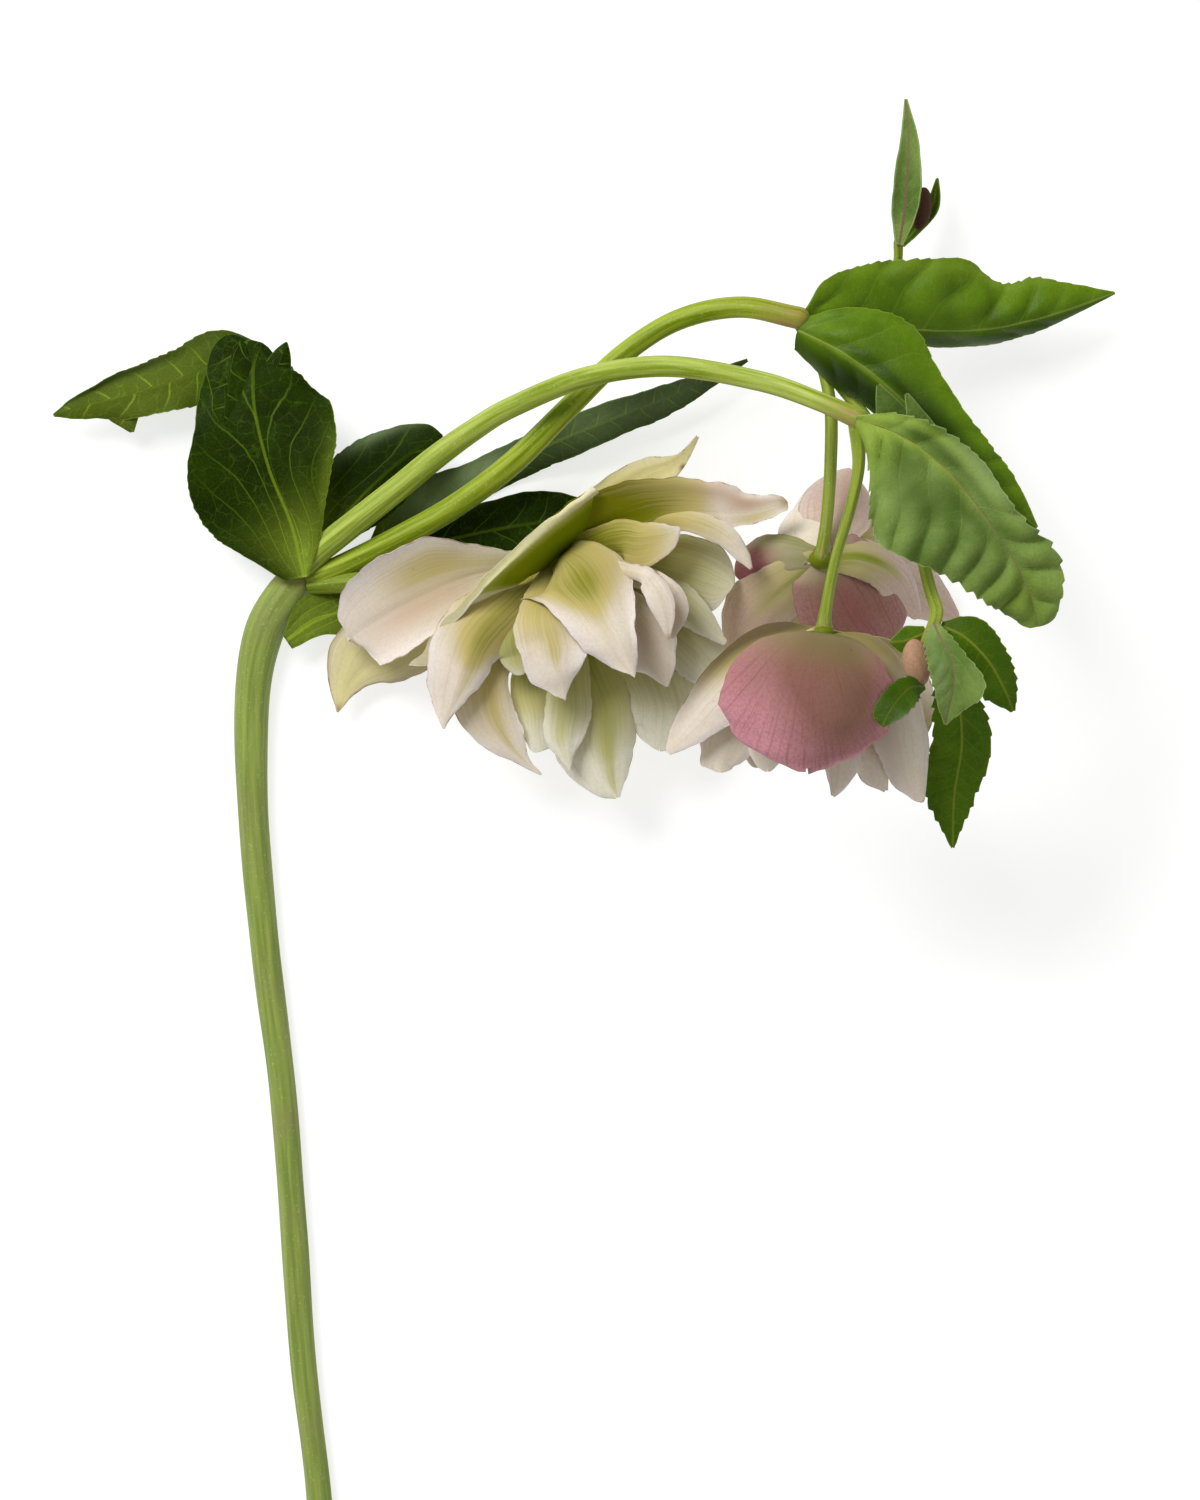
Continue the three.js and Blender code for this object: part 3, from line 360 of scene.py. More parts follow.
def add_blade(
    name, node, skin, slot, stations, cup=(0,), facing=((0, 0, 1),), fold=(0,), curl=(0,), heel=(0,),
    wave=None, teeth=None, quilt=0.0, rib=0.0, pleat=0.0, wander=0.15, thick=0.5, row=0.7,
    columns=28, blunt=None, veining=5.0, fan=None, throat=(0, 1), marks=(), ribbed=True, seed=1,
):
    """A leaf or petal along its stations: x, y, z, width to the left and to the right, in mm.

    In degrees, cup arches it across, fold bends each half at the middle and curl rolls its
    margins. In mm, heel draws the margins back towards the root, teeth are the depth and the
    spacing of its saw teeth, wander is how uneven its edge is, quilt and rib are the relief
    between its side veins and of its midrib, veining is the distance between those veins, pleat
    the relief of its lengthwise folds, thick its thickness and row the length of a row of its
    mesh, which has so many columns. fan is how far from the root its veins spread from, where
    they don't leave the midrib, and ribbed says that a midrib shows. facing is where its upper
    face looks, wave the height, count and phase of its ripples, and blunt the share of its length
    that its tip is rounded over. throat is how strong the green at its root is and how far it
    reaches. marks are patches of colour: place along, place across, size along, size across,
    kind and amount.
    """
    stations = np.asarray(stations, float)
    length = run_length(stations)
    fewest_rows, most_rows, narrowest = 24, 220, 0.12
    # places run from the root, 0, to the tip, 1, span from the left margin, -1, to the right
    # one, 1, and outward from the midrib, 0, to either margin, 1. Rows crowd towards the tip,
    # unless it has teeth, and columns towards the margins.
    places = np.linspace(0, 1, int(min(most_rows, max(fewest_rows, length / row))) + 1)
    if not teeth:
        places = 1 - (1 - places) ** 1.5
    span = np.linspace(-1, 1, 2 * (columns // 2) + 1)
    span = np.sign(span) * (1 - (1 - np.abs(span)) ** 1.25)
    side, outward = (span > 0).astype(int), np.abs(span)[None, :]
    spine, tangent, far = follow(stations, places)
    faced = np.stack([np.interp(places, np.linspace(0, 1, len(facing)), v) for v in zip(*facing)], 1)
    right = unit(np.cross(tangent, faced))
    up = np.cross(right, tangent)
    distance, along = far[:, None], places[:, None]
    shift = np.random.default_rng(seed).uniform(0, FULL_TURN, 12)

    # Its outline: rounded off where the last station is broad, with an uneven or toothed edge.
    widths = np.maximum(through(stations[:, 3:5], places), narrowest)
    last = stations[-1, 3:5].mean()
    if blunt is None:
        blunt = min(0.3, last / length) if last > 0.7 else 0
    if blunt:
        rounding = np.clip((places - 1 + blunt) / blunt, 0, 1)
        widths = widths * np.sqrt(np.maximum(1 - rounding**2.2, 0.0004))[:, None]
    widest = widths.mean(1).max()
    half = widths[:, side]
    # Its edge evens out where a half is narrower than 3 mm, and its teeth fade below 7 mm.
    small = np.minimum(half / 3, 1)
    ripples = enumerate(((2.6, 1.2), (1.3, 0.8), (0.55, 0.5)))
    uneven = sum(high * np.sin(distance / step + shift[k] + 2 * side) for k, (step, high) in ripples)
    edge = wander / 2 * uneven * small * outward**3
    if teeth:
        cut = distance / teeth[1] + 0.5 * np.sin(distance / 5 + shift[3] + side) + 0.4 * side
        deep = teeth[0] * (0.6 + 0.4 * np.sin(distance / 4.3 + shift[4]))
        edge = edge - deep * (1 - cut % 1) * np.minimum(half / 7, 1) * outward**6
    half = np.maximum(half + edge, 0.1)
    flat = half * outward

    # Its cross-section, walked from the midrib out to each margin.
    angle = np.radians(halves(fold, places, side) + halves(cup, places, side) * outward)
    angle = angle + np.radians(halves(curl, places, side)) * np.clip((outward - 0.55) / 0.45, 0, 1) ** 2
    across, rise = np.zeros_like(angle), np.zeros_like(angle)
    middle = len(span) // 2
    for way in (1, -1):
        for k in range(1, middle + 1):
            here, inner = middle + way * k, middle + way * (k - 1)
            step = flat[:, here] - flat[:, inner]
            bend = (angle[:, here] + angle[:, inner]) / 2
            across[:, here] = across[:, inner] + way * step * np.cos(bend)
            rise[:, here] = rise[:, inner] + step * np.sin(bend)

    # Its relief: ripples of the margins, a slow unevenness, quilting, folds and the midrib.
    if wave:
        height, count, phase = wave
        ripple = np.sin(2 * math.pi * (count * along + phase + 0.3 * side))
        rise = rise + height * np.minimum(half / 4, 1) * outward**2 * ripple
    drift = np.sin(distance / 5 + flat / 4 + shift[5]) * np.sin(flat / 3 + distance / 9 + shift[6])
    rise = rise + 0.25 * small * drift * outward
    # The side veins leave the midrib forward at this slant, or fan out this many radians apart.
    slant, spread_step = 0.8, 0.17
    vein = distance - slant * flat + 0.1 * flat * np.sin(distance / 8 + shift[8])
    if fan is not None:
        spread = np.arctan2(flat, np.maximum(distance - fan, 0.5))
        vein = veining * (spread / spread_step + 0.3 * np.sin(distance / 9 + shift[8]))
    vein = vein + 0.5 * np.sin(flat / 2.1 + shift[9] + distance / 6) + veining / 2 * side
    vein = vein + 0.22 * veining * np.sin(distance / 5.3 + shift[4])
    if quilt:
        bulge = np.abs(np.sin(math.pi * vein / veining)) - 0.5
        bulge = bulge * (0.75 + 0.6 * np.sin(distance / 6 + flat / 3 + shift[10]))
        rise = rise + quilt * bulge * np.minimum(flat / 2, 1) * np.minimum(half / 5, 1)
    if pleat:
        folds = np.sin(span * (5 + 2 * np.sin(shift[7])) + shift[8] + along)
        folds = folds + 0.5 * np.sin(span * 11 + shift[9] - 2 * along)
        rise = rise + pleat * folds * small * np.sin(math.pi * np.clip(along * 1.1, 0, 1))
    rise = rise + rib * np.exp(-((flat / 0.7) ** 2))
    points = spine[:, None] + right[:, None] * across[..., None] + up[:, None] * rise[..., None]
    nick = wander * (np.sin(across / 1.9 + shift[11]) + 0.6 * np.sin(across / 0.8 + shift[2]))
    back = halves(heel, places, side) * outward**2 + nick * np.clip((along - 0.8) / 0.2, 0, 1) * outward
    points = points - tangent[:, None] * back[..., None]

    # Its two faces, a little thinner at the margins, joined by a narrow rim.
    slope = np.cross(np.gradient(points, axis=1), np.gradient(points, axis=0))
    normal = unit(slope + 1e-9 * up[:, None])
    body = (thick / 2 * (1 - 0.65 * outward**6) * (1 - 0.6 * along**12))[..., None]
    paint = np.zeros(points.shape)
    paint[..., 0] = throat[0] * np.clip(1 - along / throat[1], 0, 1) ** 0.8 * (1 - 0.3 * outward**2)
    for place, over, size_along, size_across, kind, amount in marks:
        spot = ((along - place) / size_along) ** 2 + ((span - over) / size_across) ** 2
        paint[..., kind] += amount * np.exp(-spot)
    # Where no midrib shows, its map starts 3 mm out. Neither face goes below the table.
    no_rib = 0 if ribbed else 3
    layers, sheets = [], []
    for face in (1, -1):
        layer = points + face * normal * body
        layer[..., 2] = np.maximum(layer[..., 2], 0.05 + 0.02 * face)
        layers.append(layer.reshape(-1, 3))
        out_from_rib = (flat + no_rib) * np.where(span < 0, -1, 1)
        sheets.append(np.stack(np.broadcast_arrays(out_from_rib, distance, face), -1))
    strand = span * widest if fan is None else np.sign(span) * spread * widest
    blade = np.stack(np.broadcast_arrays(strand, along, seed), -1)
    margin = np.stack(np.broadcast_arrays(outward, half - flat, vein / veining), -1)
    rows, wide = half.shape
    upper, count = grid_faces(rows, wide), rows * wide
    rim = [k * wide for k in range(rows)] + [(rows - 1) * wide + j for j in range(1, wide)]
    rim += [k * wide + wide - 1 for k in range(rows - 2, -1, -1)] + list(range(wide - 2, 0, -1))
    faces = upper + [[count + v for v in face[::-1]] for face in upper]
    faces += [[a, count + a, count + b, b] for a, b in zip(rim, rim[1:] + rim[:1])]
    both = {"blade": [blade] * 2, "sheet": sheets, "margin": [margin] * 2, "paint": [paint] * 2}
    both = {title: np.concatenate([v.reshape(-1, 3) for v in pair]) for title, pair in both.items()}
    add_piece(name, np.vstack(layers), faces, skin, slot, node, **both)


def blade_maps(tree):
    """The values that a blade carries at its points, three in each of its four maps.

    sheet has the mm out from the midrib, the mm along and the face, 1 or -1. blade has the place
    across the widest part, the share of the length and the seed. margin has the share of the way
    out, the mm to the edge and the count of side veins. paint has the throat and the marks.
    """
    vectors = [
        add_node(tree, "Attribute", attribute_name=title).outputs["Vector"]
        for title in ("sheet", "blade", "margin", "paint")
    ]
    return [list(add_node(tree, "SeparateXYZ", {"Vector": vector}).outputs) for vector in vectors]


def leaf_skin(
    name, face, deep, back, vein, rim, rib, wear_and_shade, gloss, spec=0.08, net=0.2, ribs=0.5,
    rib_half=0.4, rib_end=0.5, bump=0.3, mesh=1.6,
):
    """Leathery leaf skin: side veins and a fine net between them, and a waxed face."""
    skin, tree, shader = new_skin(name, Roughness=gloss, IOR=1.45, Specular_IOR_Level=spec)
    (across, along, side), (_, share, seed), (outward, to_edge, count), marks = blade_maps(tree)
    flat = add_node(tree, "CombineXYZ", {"X": across, "Y": along, "Z": seed})
    # Side veins waver a little and fade towards the margin, and the midrib thins to its tip.
    waver = add_node(tree, "TexNoise", {"Vector": flat, "Scale": 0.5, "Detail": 2.0})
    line = add_node(tree, "Math", {0: waver, 1: 0.14, 2: count}, operation="MULTIPLY_ADD")
    line = add_node(tree, "Math", {0: line, 1: 0.5}, operation="PINGPONG")
    out = add_node(tree, "Math", {0: across}, operation="ABSOLUTE")
    veins, fade, middle, thinner = (
        add_node(
            tree, "MapRange",
            {"Value": value, "From Min": low, "From Max": high, "To Min": start, "To Max": end},
        )
        for value, low, high, start, end in (
            (line, 0.05, 0.01, 0.0, 1.0), (outward, 0.3, 0.95, ribs, 0.1),
            (out, rib_half, rib_half / 2, 0.0, 1.0), (share, 0.1, 0.9, 0.9, rib_end),
        )
    )
    veins = add_node(tree, "Math", {0: veins, 1: fade}, operation="MULTIPLY")
    middle = add_node(tree, "Math", {0: middle, 1: thinner}, operation="MULTIPLY")
    # The net between them: meshes as wide as stated and finer ones of 0.6 mm, coarser than real.
    warp = add_node(tree, "TexNoise", {"Vector": flat, "Scale": 0.8, "Detail": 2.0})
    bent_net = add_node(tree, "VectorMath", {0: flat, 1: warp.outputs["Color"]}, operation="ADD")
    coarse, fine = (
        add_node(tree, "TexVoronoi", {"Vector": bent_net, "Scale": scale}, feature="DISTANCE_TO_EDGE")
        for scale in (1 / mesh, 1.7)
    )
    coarse = add_node(tree, "MapRange", {"Value": coarse, "From Min": 0.13 / mesh, "From Max": 0.0})
    fine = add_node(
        tree, "MapRange", {"Value": fine, "From Min": 0.12, "From Max": 0.0, "To Max": 0.45}
    )
    patchy = add_node(
        tree, "MapRange", {"Value": warp, "From Min": 0.35, "From Max": 0.65, "To Min": 0.3}
    )
    web = add_node(tree, "Math", {0: coarse, 1: fine}, operation="MAXIMUM")
    for strength in (patchy, net):
        web = add_node(tree, "Math", {0: web, 1: strength}, operation="MULTIPLY")
    veins = add_node(tree, "Math", {0: veins, 1: web}, operation="MAXIMUM")
    # Clouds about 8 mm wide and specks of 0.4 mm, the dull back and a pale brim.
    cloud, speck = (
        add_node(tree, "TexNoise", {"Vector": flat, "Scale": scale, "Detail": detail})
        for scale, detail in ((0.12, 4.0), (2.6, 3.0))
    )
    cloud, speck, hidden, brim = (
        add_node(tree, "MapRange", {"Value": value, "From Min": low, "From Max": high, "To Max": most})
        for value, low, high, most in (
            (cloud, 0.35, 0.68, 1.0), (speck, 0.3, 0.75, 0.4), (side, 0.1, -0.1, 1.0),
            (to_edge, 0.25, 0.1, 0.7),
        )
    )
    tint = colour(deep)
    for amount, code in (
        (cloud, face), (speck, deep), (hidden, back), (veins, vein), (middle, rib), (brim, rim),
    ):
        tint = add_node(tree, "MixRGB", {"Fac": amount, "Color1": tint, "Color2": colour(code)})
    # Its marks: yellow-green ones that follow the veins, greyish ones, and dark ones, mostly painted
    # shade where a blade folds down or creases.
    for mark, code, even in zip(marks, ("#A0B83C", "#84966A", wear_and_shade), (0.6, 1.0, 0.9)):
        lit = add_node(tree, "Math", {0: veins, 1: 1.6 * (1 - even), 2: even}, operation="MULTIPLY_ADD")
        mark = add_node(tree, "Math", {0: mark, 1: lit}, operation="MULTIPLY", use_clamp=True)
        tint = add_node(tree, "MixRGB", {"Fac": mark, "Color1": tint, "Color2": colour(code)})
    tree.links.new(tint.outputs[0], shader.inputs["Base Color"])
    height = cloud
    for part, weight in ((veins, -1.0), (speck, 1.5)):
        height = add_node(tree, "Math", {0: part, 1: weight, 2: height}, operation="MULTIPLY_ADD")
    relief = add_node(tree, "Bump", {"Height": height, "Strength": bump, "Distance": 0.0004})
    tree.links.new(relief.outputs[0], shader.inputs["Normal"])
    return skin


# Nearly black green, so that the pale veins and their wide net stand out on its dull shine.
dark_leather = leaf_skin(
    "leathery_dark_bract", face="#233600", deep="#152300", back="#456006", vein="#4A6412",
    rim="#587010", rib="#6C8418", wear_and_shade="#142400", gloss=0.45, spec=0.05, net=0.45, ribs=0.9,
    rib_half=0.35, rib_end=0.0, mesh=3.4,
)
for node, blades in BRACTS.items():
    for number, blade in enumerate(blades, 1):
        add_blade(
            f"{node}_{number}" if len(blades) > 1 else node, node, dark_leather, "dark_leaf",
            quilt=0.25, rib=0.1, columns=44, row=0.4, seed=20 + number + len(node), **blade,
        )

# ---------------------------------------------------------------------------
# The two bright leaves at the end of the back branch: younger leather, with a
# high gloss on their upper faces and finely toothed margins.
# ---------------------------------------------------------------------------

BRIGHT_LEAVES = {
    "far_leaf": dict(
        teeth=(0.5, 2.4), wave=(0.7, 2.5, 0.2), cup=[(-16, -10)], veining=8, quilt=0.8,
        fold=[(0, -20), (0, -50), (0, -55), (0, -45)],
        # Its dark marks are painted shade, the broadest over the half that is folded down.
        marks=[
            (0.6, 0.55, 0.5, 0.45, 2, 0.75), (0.45, -0.15, 0.3, 0.2, 2, 0.4),
            (0.3, -0.5, 0.03, 0.5, 2, 0.3), (0.42, -0.5, 0.03, 0.5, 2, 0.35),
            (0.56, -0.5, 0.03, 0.5, 2, 0.3), (0.5, -0.9, 0.4, 0.15, 0, 0.3),
        ],
        stations=[
            (92.8, 49.4, 23.6, 1.4, 0.8), (97, 49.3, 22, 7.6, 1.8), (105, 48, 19, 11.6, 4.4),
            (115, 47, 17, 13.3, 5), (124, 47.1, 15.2, 12.6, 5.2), (130, 48, 14.2, 8.2, 5),
            (136.4, 49.6, 13, 7.6, 3.8), (142, 51.4, 11.8, 4.6, 2), (149, 53.9, 10.5, 0.3, 0.3),
        ],
    ),
    "near_leaf": dict(
        teeth=(0.45, 2.6), wave=(0.5, 2, 0), cup=[(-34, -12), (-30, -10), (-16, -10)], veining=8,
        quilt=0.6, fold=[(0, -35), (0, -45), (5, -40), (5, -10), (0, 0)],
        # Its dark marks are painted shade, the broadest over the half that is folded down.
        marks=[
            (0.3, 0.05, 0.25, 0.05, 0, 0.7), (0.3, 0.6, 0.35, 0.5, 2, 1.2), (0.8, 0.5, 0.3, 0.6, 2, 0.8),
            (0.3, -0.14, 0.25, 0.1, 2, 0.5), (0.58, -0.3, 0.22, 0.35, 2, 0.9),
        ],
        stations=[
            (91.4, 46.8, 25.6, 2.8, 4.6), (98.2, 43.4, 29, 9.6, 8.6), (104.6, 39, 31, 12, 8.4),
            (109.6, 34.6, 31.8, 9.4, 7.4), (115.4, 28.8, 32.2, 7, 6), (122, 22, 32, 6, 4.6),
            (128.8, 15.8, 31, 3.8, 3), (134.4, 11.2, 29.5, 0.3, 0.3),
        ],
    ),
}

# A lively yellow-green with faint veins and soft highlights, as young leaves have.
bright_leather = leaf_skin(
    "glossy_young_leaf", face="#628210", deep="#486604", back="#4A6608", vein="#7F9A38",
    rim="#7E9630", rib="#8C9A48", wear_and_shade="#1C3200", gloss=0.4, spec=0.12, ribs=0.3, rib_half=0.2,
    mesh=2.2, bump=0.2,
)
for node, blade in BRIGHT_LEAVES.items():
    add_blade(
        node, node, bright_leather, "leaf", rib=-0.25, columns=52, row=0.4, seed=40 + len(node), **blade
    )

# ---------------------------------------------------------------------------
# The big leaf under the front node: a broad blade seen on its dull, bluish
# side, quilted between its side veins, with a purple-brown midrib and two
# small lobes that grow from under its base.
# ---------------------------------------------------------------------------

# The small lobes are darkened all over with painted shade.
SMALL_LOBE = dict(ribbed=False, cup=[-20], marks=[(0.5, 0, 1, 2, 2, 0.4)])
BIG_LEAF = [
    dict(
        teeth=(1.1, 2.4), wave=(1.1, 3.5, 0.3), cup=[(-22, -14)], veining=7, quilt=1.25,
        fold=[(20, 10), (22, 10), (12, 5)],
        # Its small dark marks near the midrib are painted shade in its deepest creases.
        marks=[
            (0.06, 0, 0.14, 1.5, 0, 0.7), (0.3, 0, 0.2, 0.07, 0, 0.6), (0.45, -0.8, 0.1, 0.3, 1, 0.4),
            (0.43, 0.42, 0.05, 0.22, 2, 0.8), (0.36, 0.4, 0.03, 0.2, 2, 0.6),
            (0.5, 0.14, 0.08, 0.09, 2, 0.7), (0.29, 0.33, 0.04, 0.2, 2, 0.6),
            (0.35, -0.32, 0.2, 0.16, 2, 0.6), (0.35, -0.68, 0.2, 0.16, 0, 0.5),
            (0.86, 0.2, 0.16, 1, 0, 0.4), (0.62, 0.5, 0.04, 0.25, 2, 0.4),
        ],
        stations=[
            (101.6, 30.2, 49, 0.8, 1), (107.5, 28.2, 52, 3.4, 8.6), (113, 25, 54.5, 5.4, 15.6),
            (119.5, 19, 56, 6, 18), (126, 10.6, 56, 5.6, 13.4), (131, 2.5, 54.5, 8, 9.4),
            (133.2, -3.2, 52.4, 5, 5.4), (134, -6.8, 51, 2.6, 2.6),
        ],
    ),
    dict(
        stations=[
            (107.6, 29.3, 49.6, 2.6, 4.4), (106.6, 32.8, 51.2, 1.7, 2.4), (105.4, 36.3, 52.2, 0.4, 0.4),
        ],
        **SMALL_LOBE,
    ),
    dict(
        stations=[
            (112.8, 28.2, 51.6, 2.2, 3), (111.7, 31.6, 52.3, 1.3, 1.6), (110.4, 34.9, 52.5, 0.4, 0.4),
        ],
        **SMALL_LOBE,
    ),
]

# A greyed, bluish green without shine, where only the quilting and the brown midrib show.
dull_leather = leaf_skin(
    "dull_bluish_leaf", face="#7E944C", deep="#536C2A", back="#4F7210", vein="#8CA456",
    rim="#93A866", rib="#7A5C50", wear_and_shade="#3A5014", gloss=0.6, spec=0.1, ribs=0.3, rib_half=0.28,
    mesh=2.2,
)
for number, blade in enumerate(BIG_LEAF, 1):
    add_blade(
        f"big_leaf_{number}", "big_leaf", dull_leather, "leaf", rib=-0.2,
        columns=64 if number == 1 else 20, row=0.35, seed=50 + number, **blade,
    )

# ---------------------------------------------------------------------------
# The two buds and their small leaves. A bud is an egg of overlapping sepals,
# thin and dry to the eye; the leaves round it are like the big leaf's, smaller.
# ---------------------------------------------------------------------------

BUD_LEAVES = {
    "nodding_bud": [
        dict(
            teeth=(2.2, 1.9), fold=[0, 25, 20], marks=[(0.5, 0.5, 0.4, 0.3, 1, 0.35)],
            stations=[
                (115.4, -6.4, 53.8, 0.7, 0.8), (116.2, -8.4, 57.4, 1.8, 3.4), (118.4, -12.6, 60, 3, 5),
                (118.8, -17, 60.6, 6.2, 4.5), (118.1, -20.6, 60, 3.2, 2.8),
                (117.3, -24.2, 58.4, 0.3, 0.3),
            ],
        ),
        dict(
            stations=[
                (114, -7.8, 52.6, 1.2, 1.2), (110.6, -9.2, 53, 2.8, 2.5), (107.4, -9.6, 52.6, 0.3, 0.3),
            ],
        ),
        dict(
            fold=[(20, -10)], teeth=(1.8, 1.7),
            marks=[(0.5, 0, 0.6, 2, 2, 0.75), (0.7, -0.95, 0.3, 0.2, 1, 0.6)],
            stations=[
                (113.4, -17.5, 55.6, 0.7, 0.7), (110.9, -17.8, 59, 3, 2.6), (108.2, -20.6, 61.4, 3.2, 3),
                (106.6, -23.2, 62, 1.8, 2.6), (106, -24.8, 62, 0.3, 0.3),
            ],
        ),
        dict(
            # Its dark mark is painted shade over its left half.
            teeth=(1.4, 1.9), cup=[-15], marks=[(0.4, -0.6, 0.4, 0.5, 2, 0.5)],
            stations=[
                (116.6, -6.6, 51.2, 0.8, 0.8), (120.8, -8.6, 51.8, 4.2, 3.6),
                (125, -12.8, 51.6, 4.2, 4.6), (127.8, -17.6, 50.4, 3, 4.6), (129.6, -21.8, 49, 0.4, 0.6),
            ],
        ),
        dict(
            teeth=(1.5, 2.6), cup=[-12],
            stations=[
                (116, -8.4, 50.4, 0.8, 0.8), (119.4, -18, 48, 3.7, 4.6), (120.5, -27.5, 45, 5.5, 5.6),
                (119.2, -37, 42, 4.1, 5.8), (119, -46.2, 39, 0.3, 0.3),
            ],
        ),
    ],
    "upright_bud": [
        dict(
            cup=[35],
            stations=[
                (109.9, 62.6, 11.6, 0.8, 0.8), (110.9, 69, 12.6, 2.6, 2.5), (111.3, 75, 12.8, 2.4, 2.7),
                (111.6, 81.5, 12.2, 1.6, 1.9), (111.1, 88.9, 11, 0.3, 0.3),
            ],
        ),
        dict(
            cup=[35],
            stations=[
                (110.4, 62.6, 8.6, 0.6, 0.6), (113.2, 65.8, 6.4, 1.1, 1.1), (116, 69.8, 6.6, 1.3, 1.4),
                (116.9, 74.8, 7.6, 0.3, 0.3),
            ],
        ),
    ],
}


def add_egg(name, node, skin, slot, centre, radii, lean=0, lap=0.06, seed=1):
    """An egg with its long axis near Y, closed over by the edges of its overlapping sepals."""
    rows, sides, laps, pole = 48, 72, 5, 0.02
    height = -np.cos(np.linspace(pole, math.pi - pole, rows))[:, None]
    turn = np.linspace(0, 2 * math.pi, sides, endpoint=False)[None, :]
    # The edge of each sepal winds up the egg and stands a little proud of the next one.
    twist = laps * (turn / (2 * math.pi)) + 0.55 * height
    step = twist % 1
    edge = np.clip((1 - step) / 0.12, 0, 1)
    swell = 1 + lap * (step - 0.5) * edge * np.sqrt(1 - height**2)
    reach = np.sqrt(1 - height**2) * swell
    shape = [reach * np.cos(turn), height * np.ones_like(turn), -reach * np.sin(turn)]
    points = np.stack([part * radius for part, radius in zip(shape, radii)], -1)
    cos, sin = math.cos(math.radians(lean)), math.sin(math.radians(lean))
    spin = np.array([[cos, -sin, 0], [sin, cos, 0], [0, 0, 1]])
    points = points.reshape(-1, 3) @ spin.T + np.asarray(centre)
    count = 1.0 * seed + np.floor(twist)
    blade = np.stack(np.broadcast_arrays(step * 4 - 2, (1 - height) / 2, count), -1)
    faces = grid_faces(rows, sides, closed=True)
    faces += [list(range(sides))[::-1], list(range(sides * (rows - 1), sides * rows))]
    blade = blade.reshape(-1, 3)
    sheet = np.stack([blade[:, 0] * 1.5, (1 - blade[:, 1]) * 8, np.ones(len(blade))], 1)
    # It carries the maps of a blade, at a place so far inside that no brim shows.
    inside = [0.0, 9.0, 9.0]
    maps = dict(blade=blade, sheet=sheet, margin=np.tile(inside, (len(blade), 1)), paint=0 * blade)
    add_piece(name, points, faces, skin, slot, node, **maps)


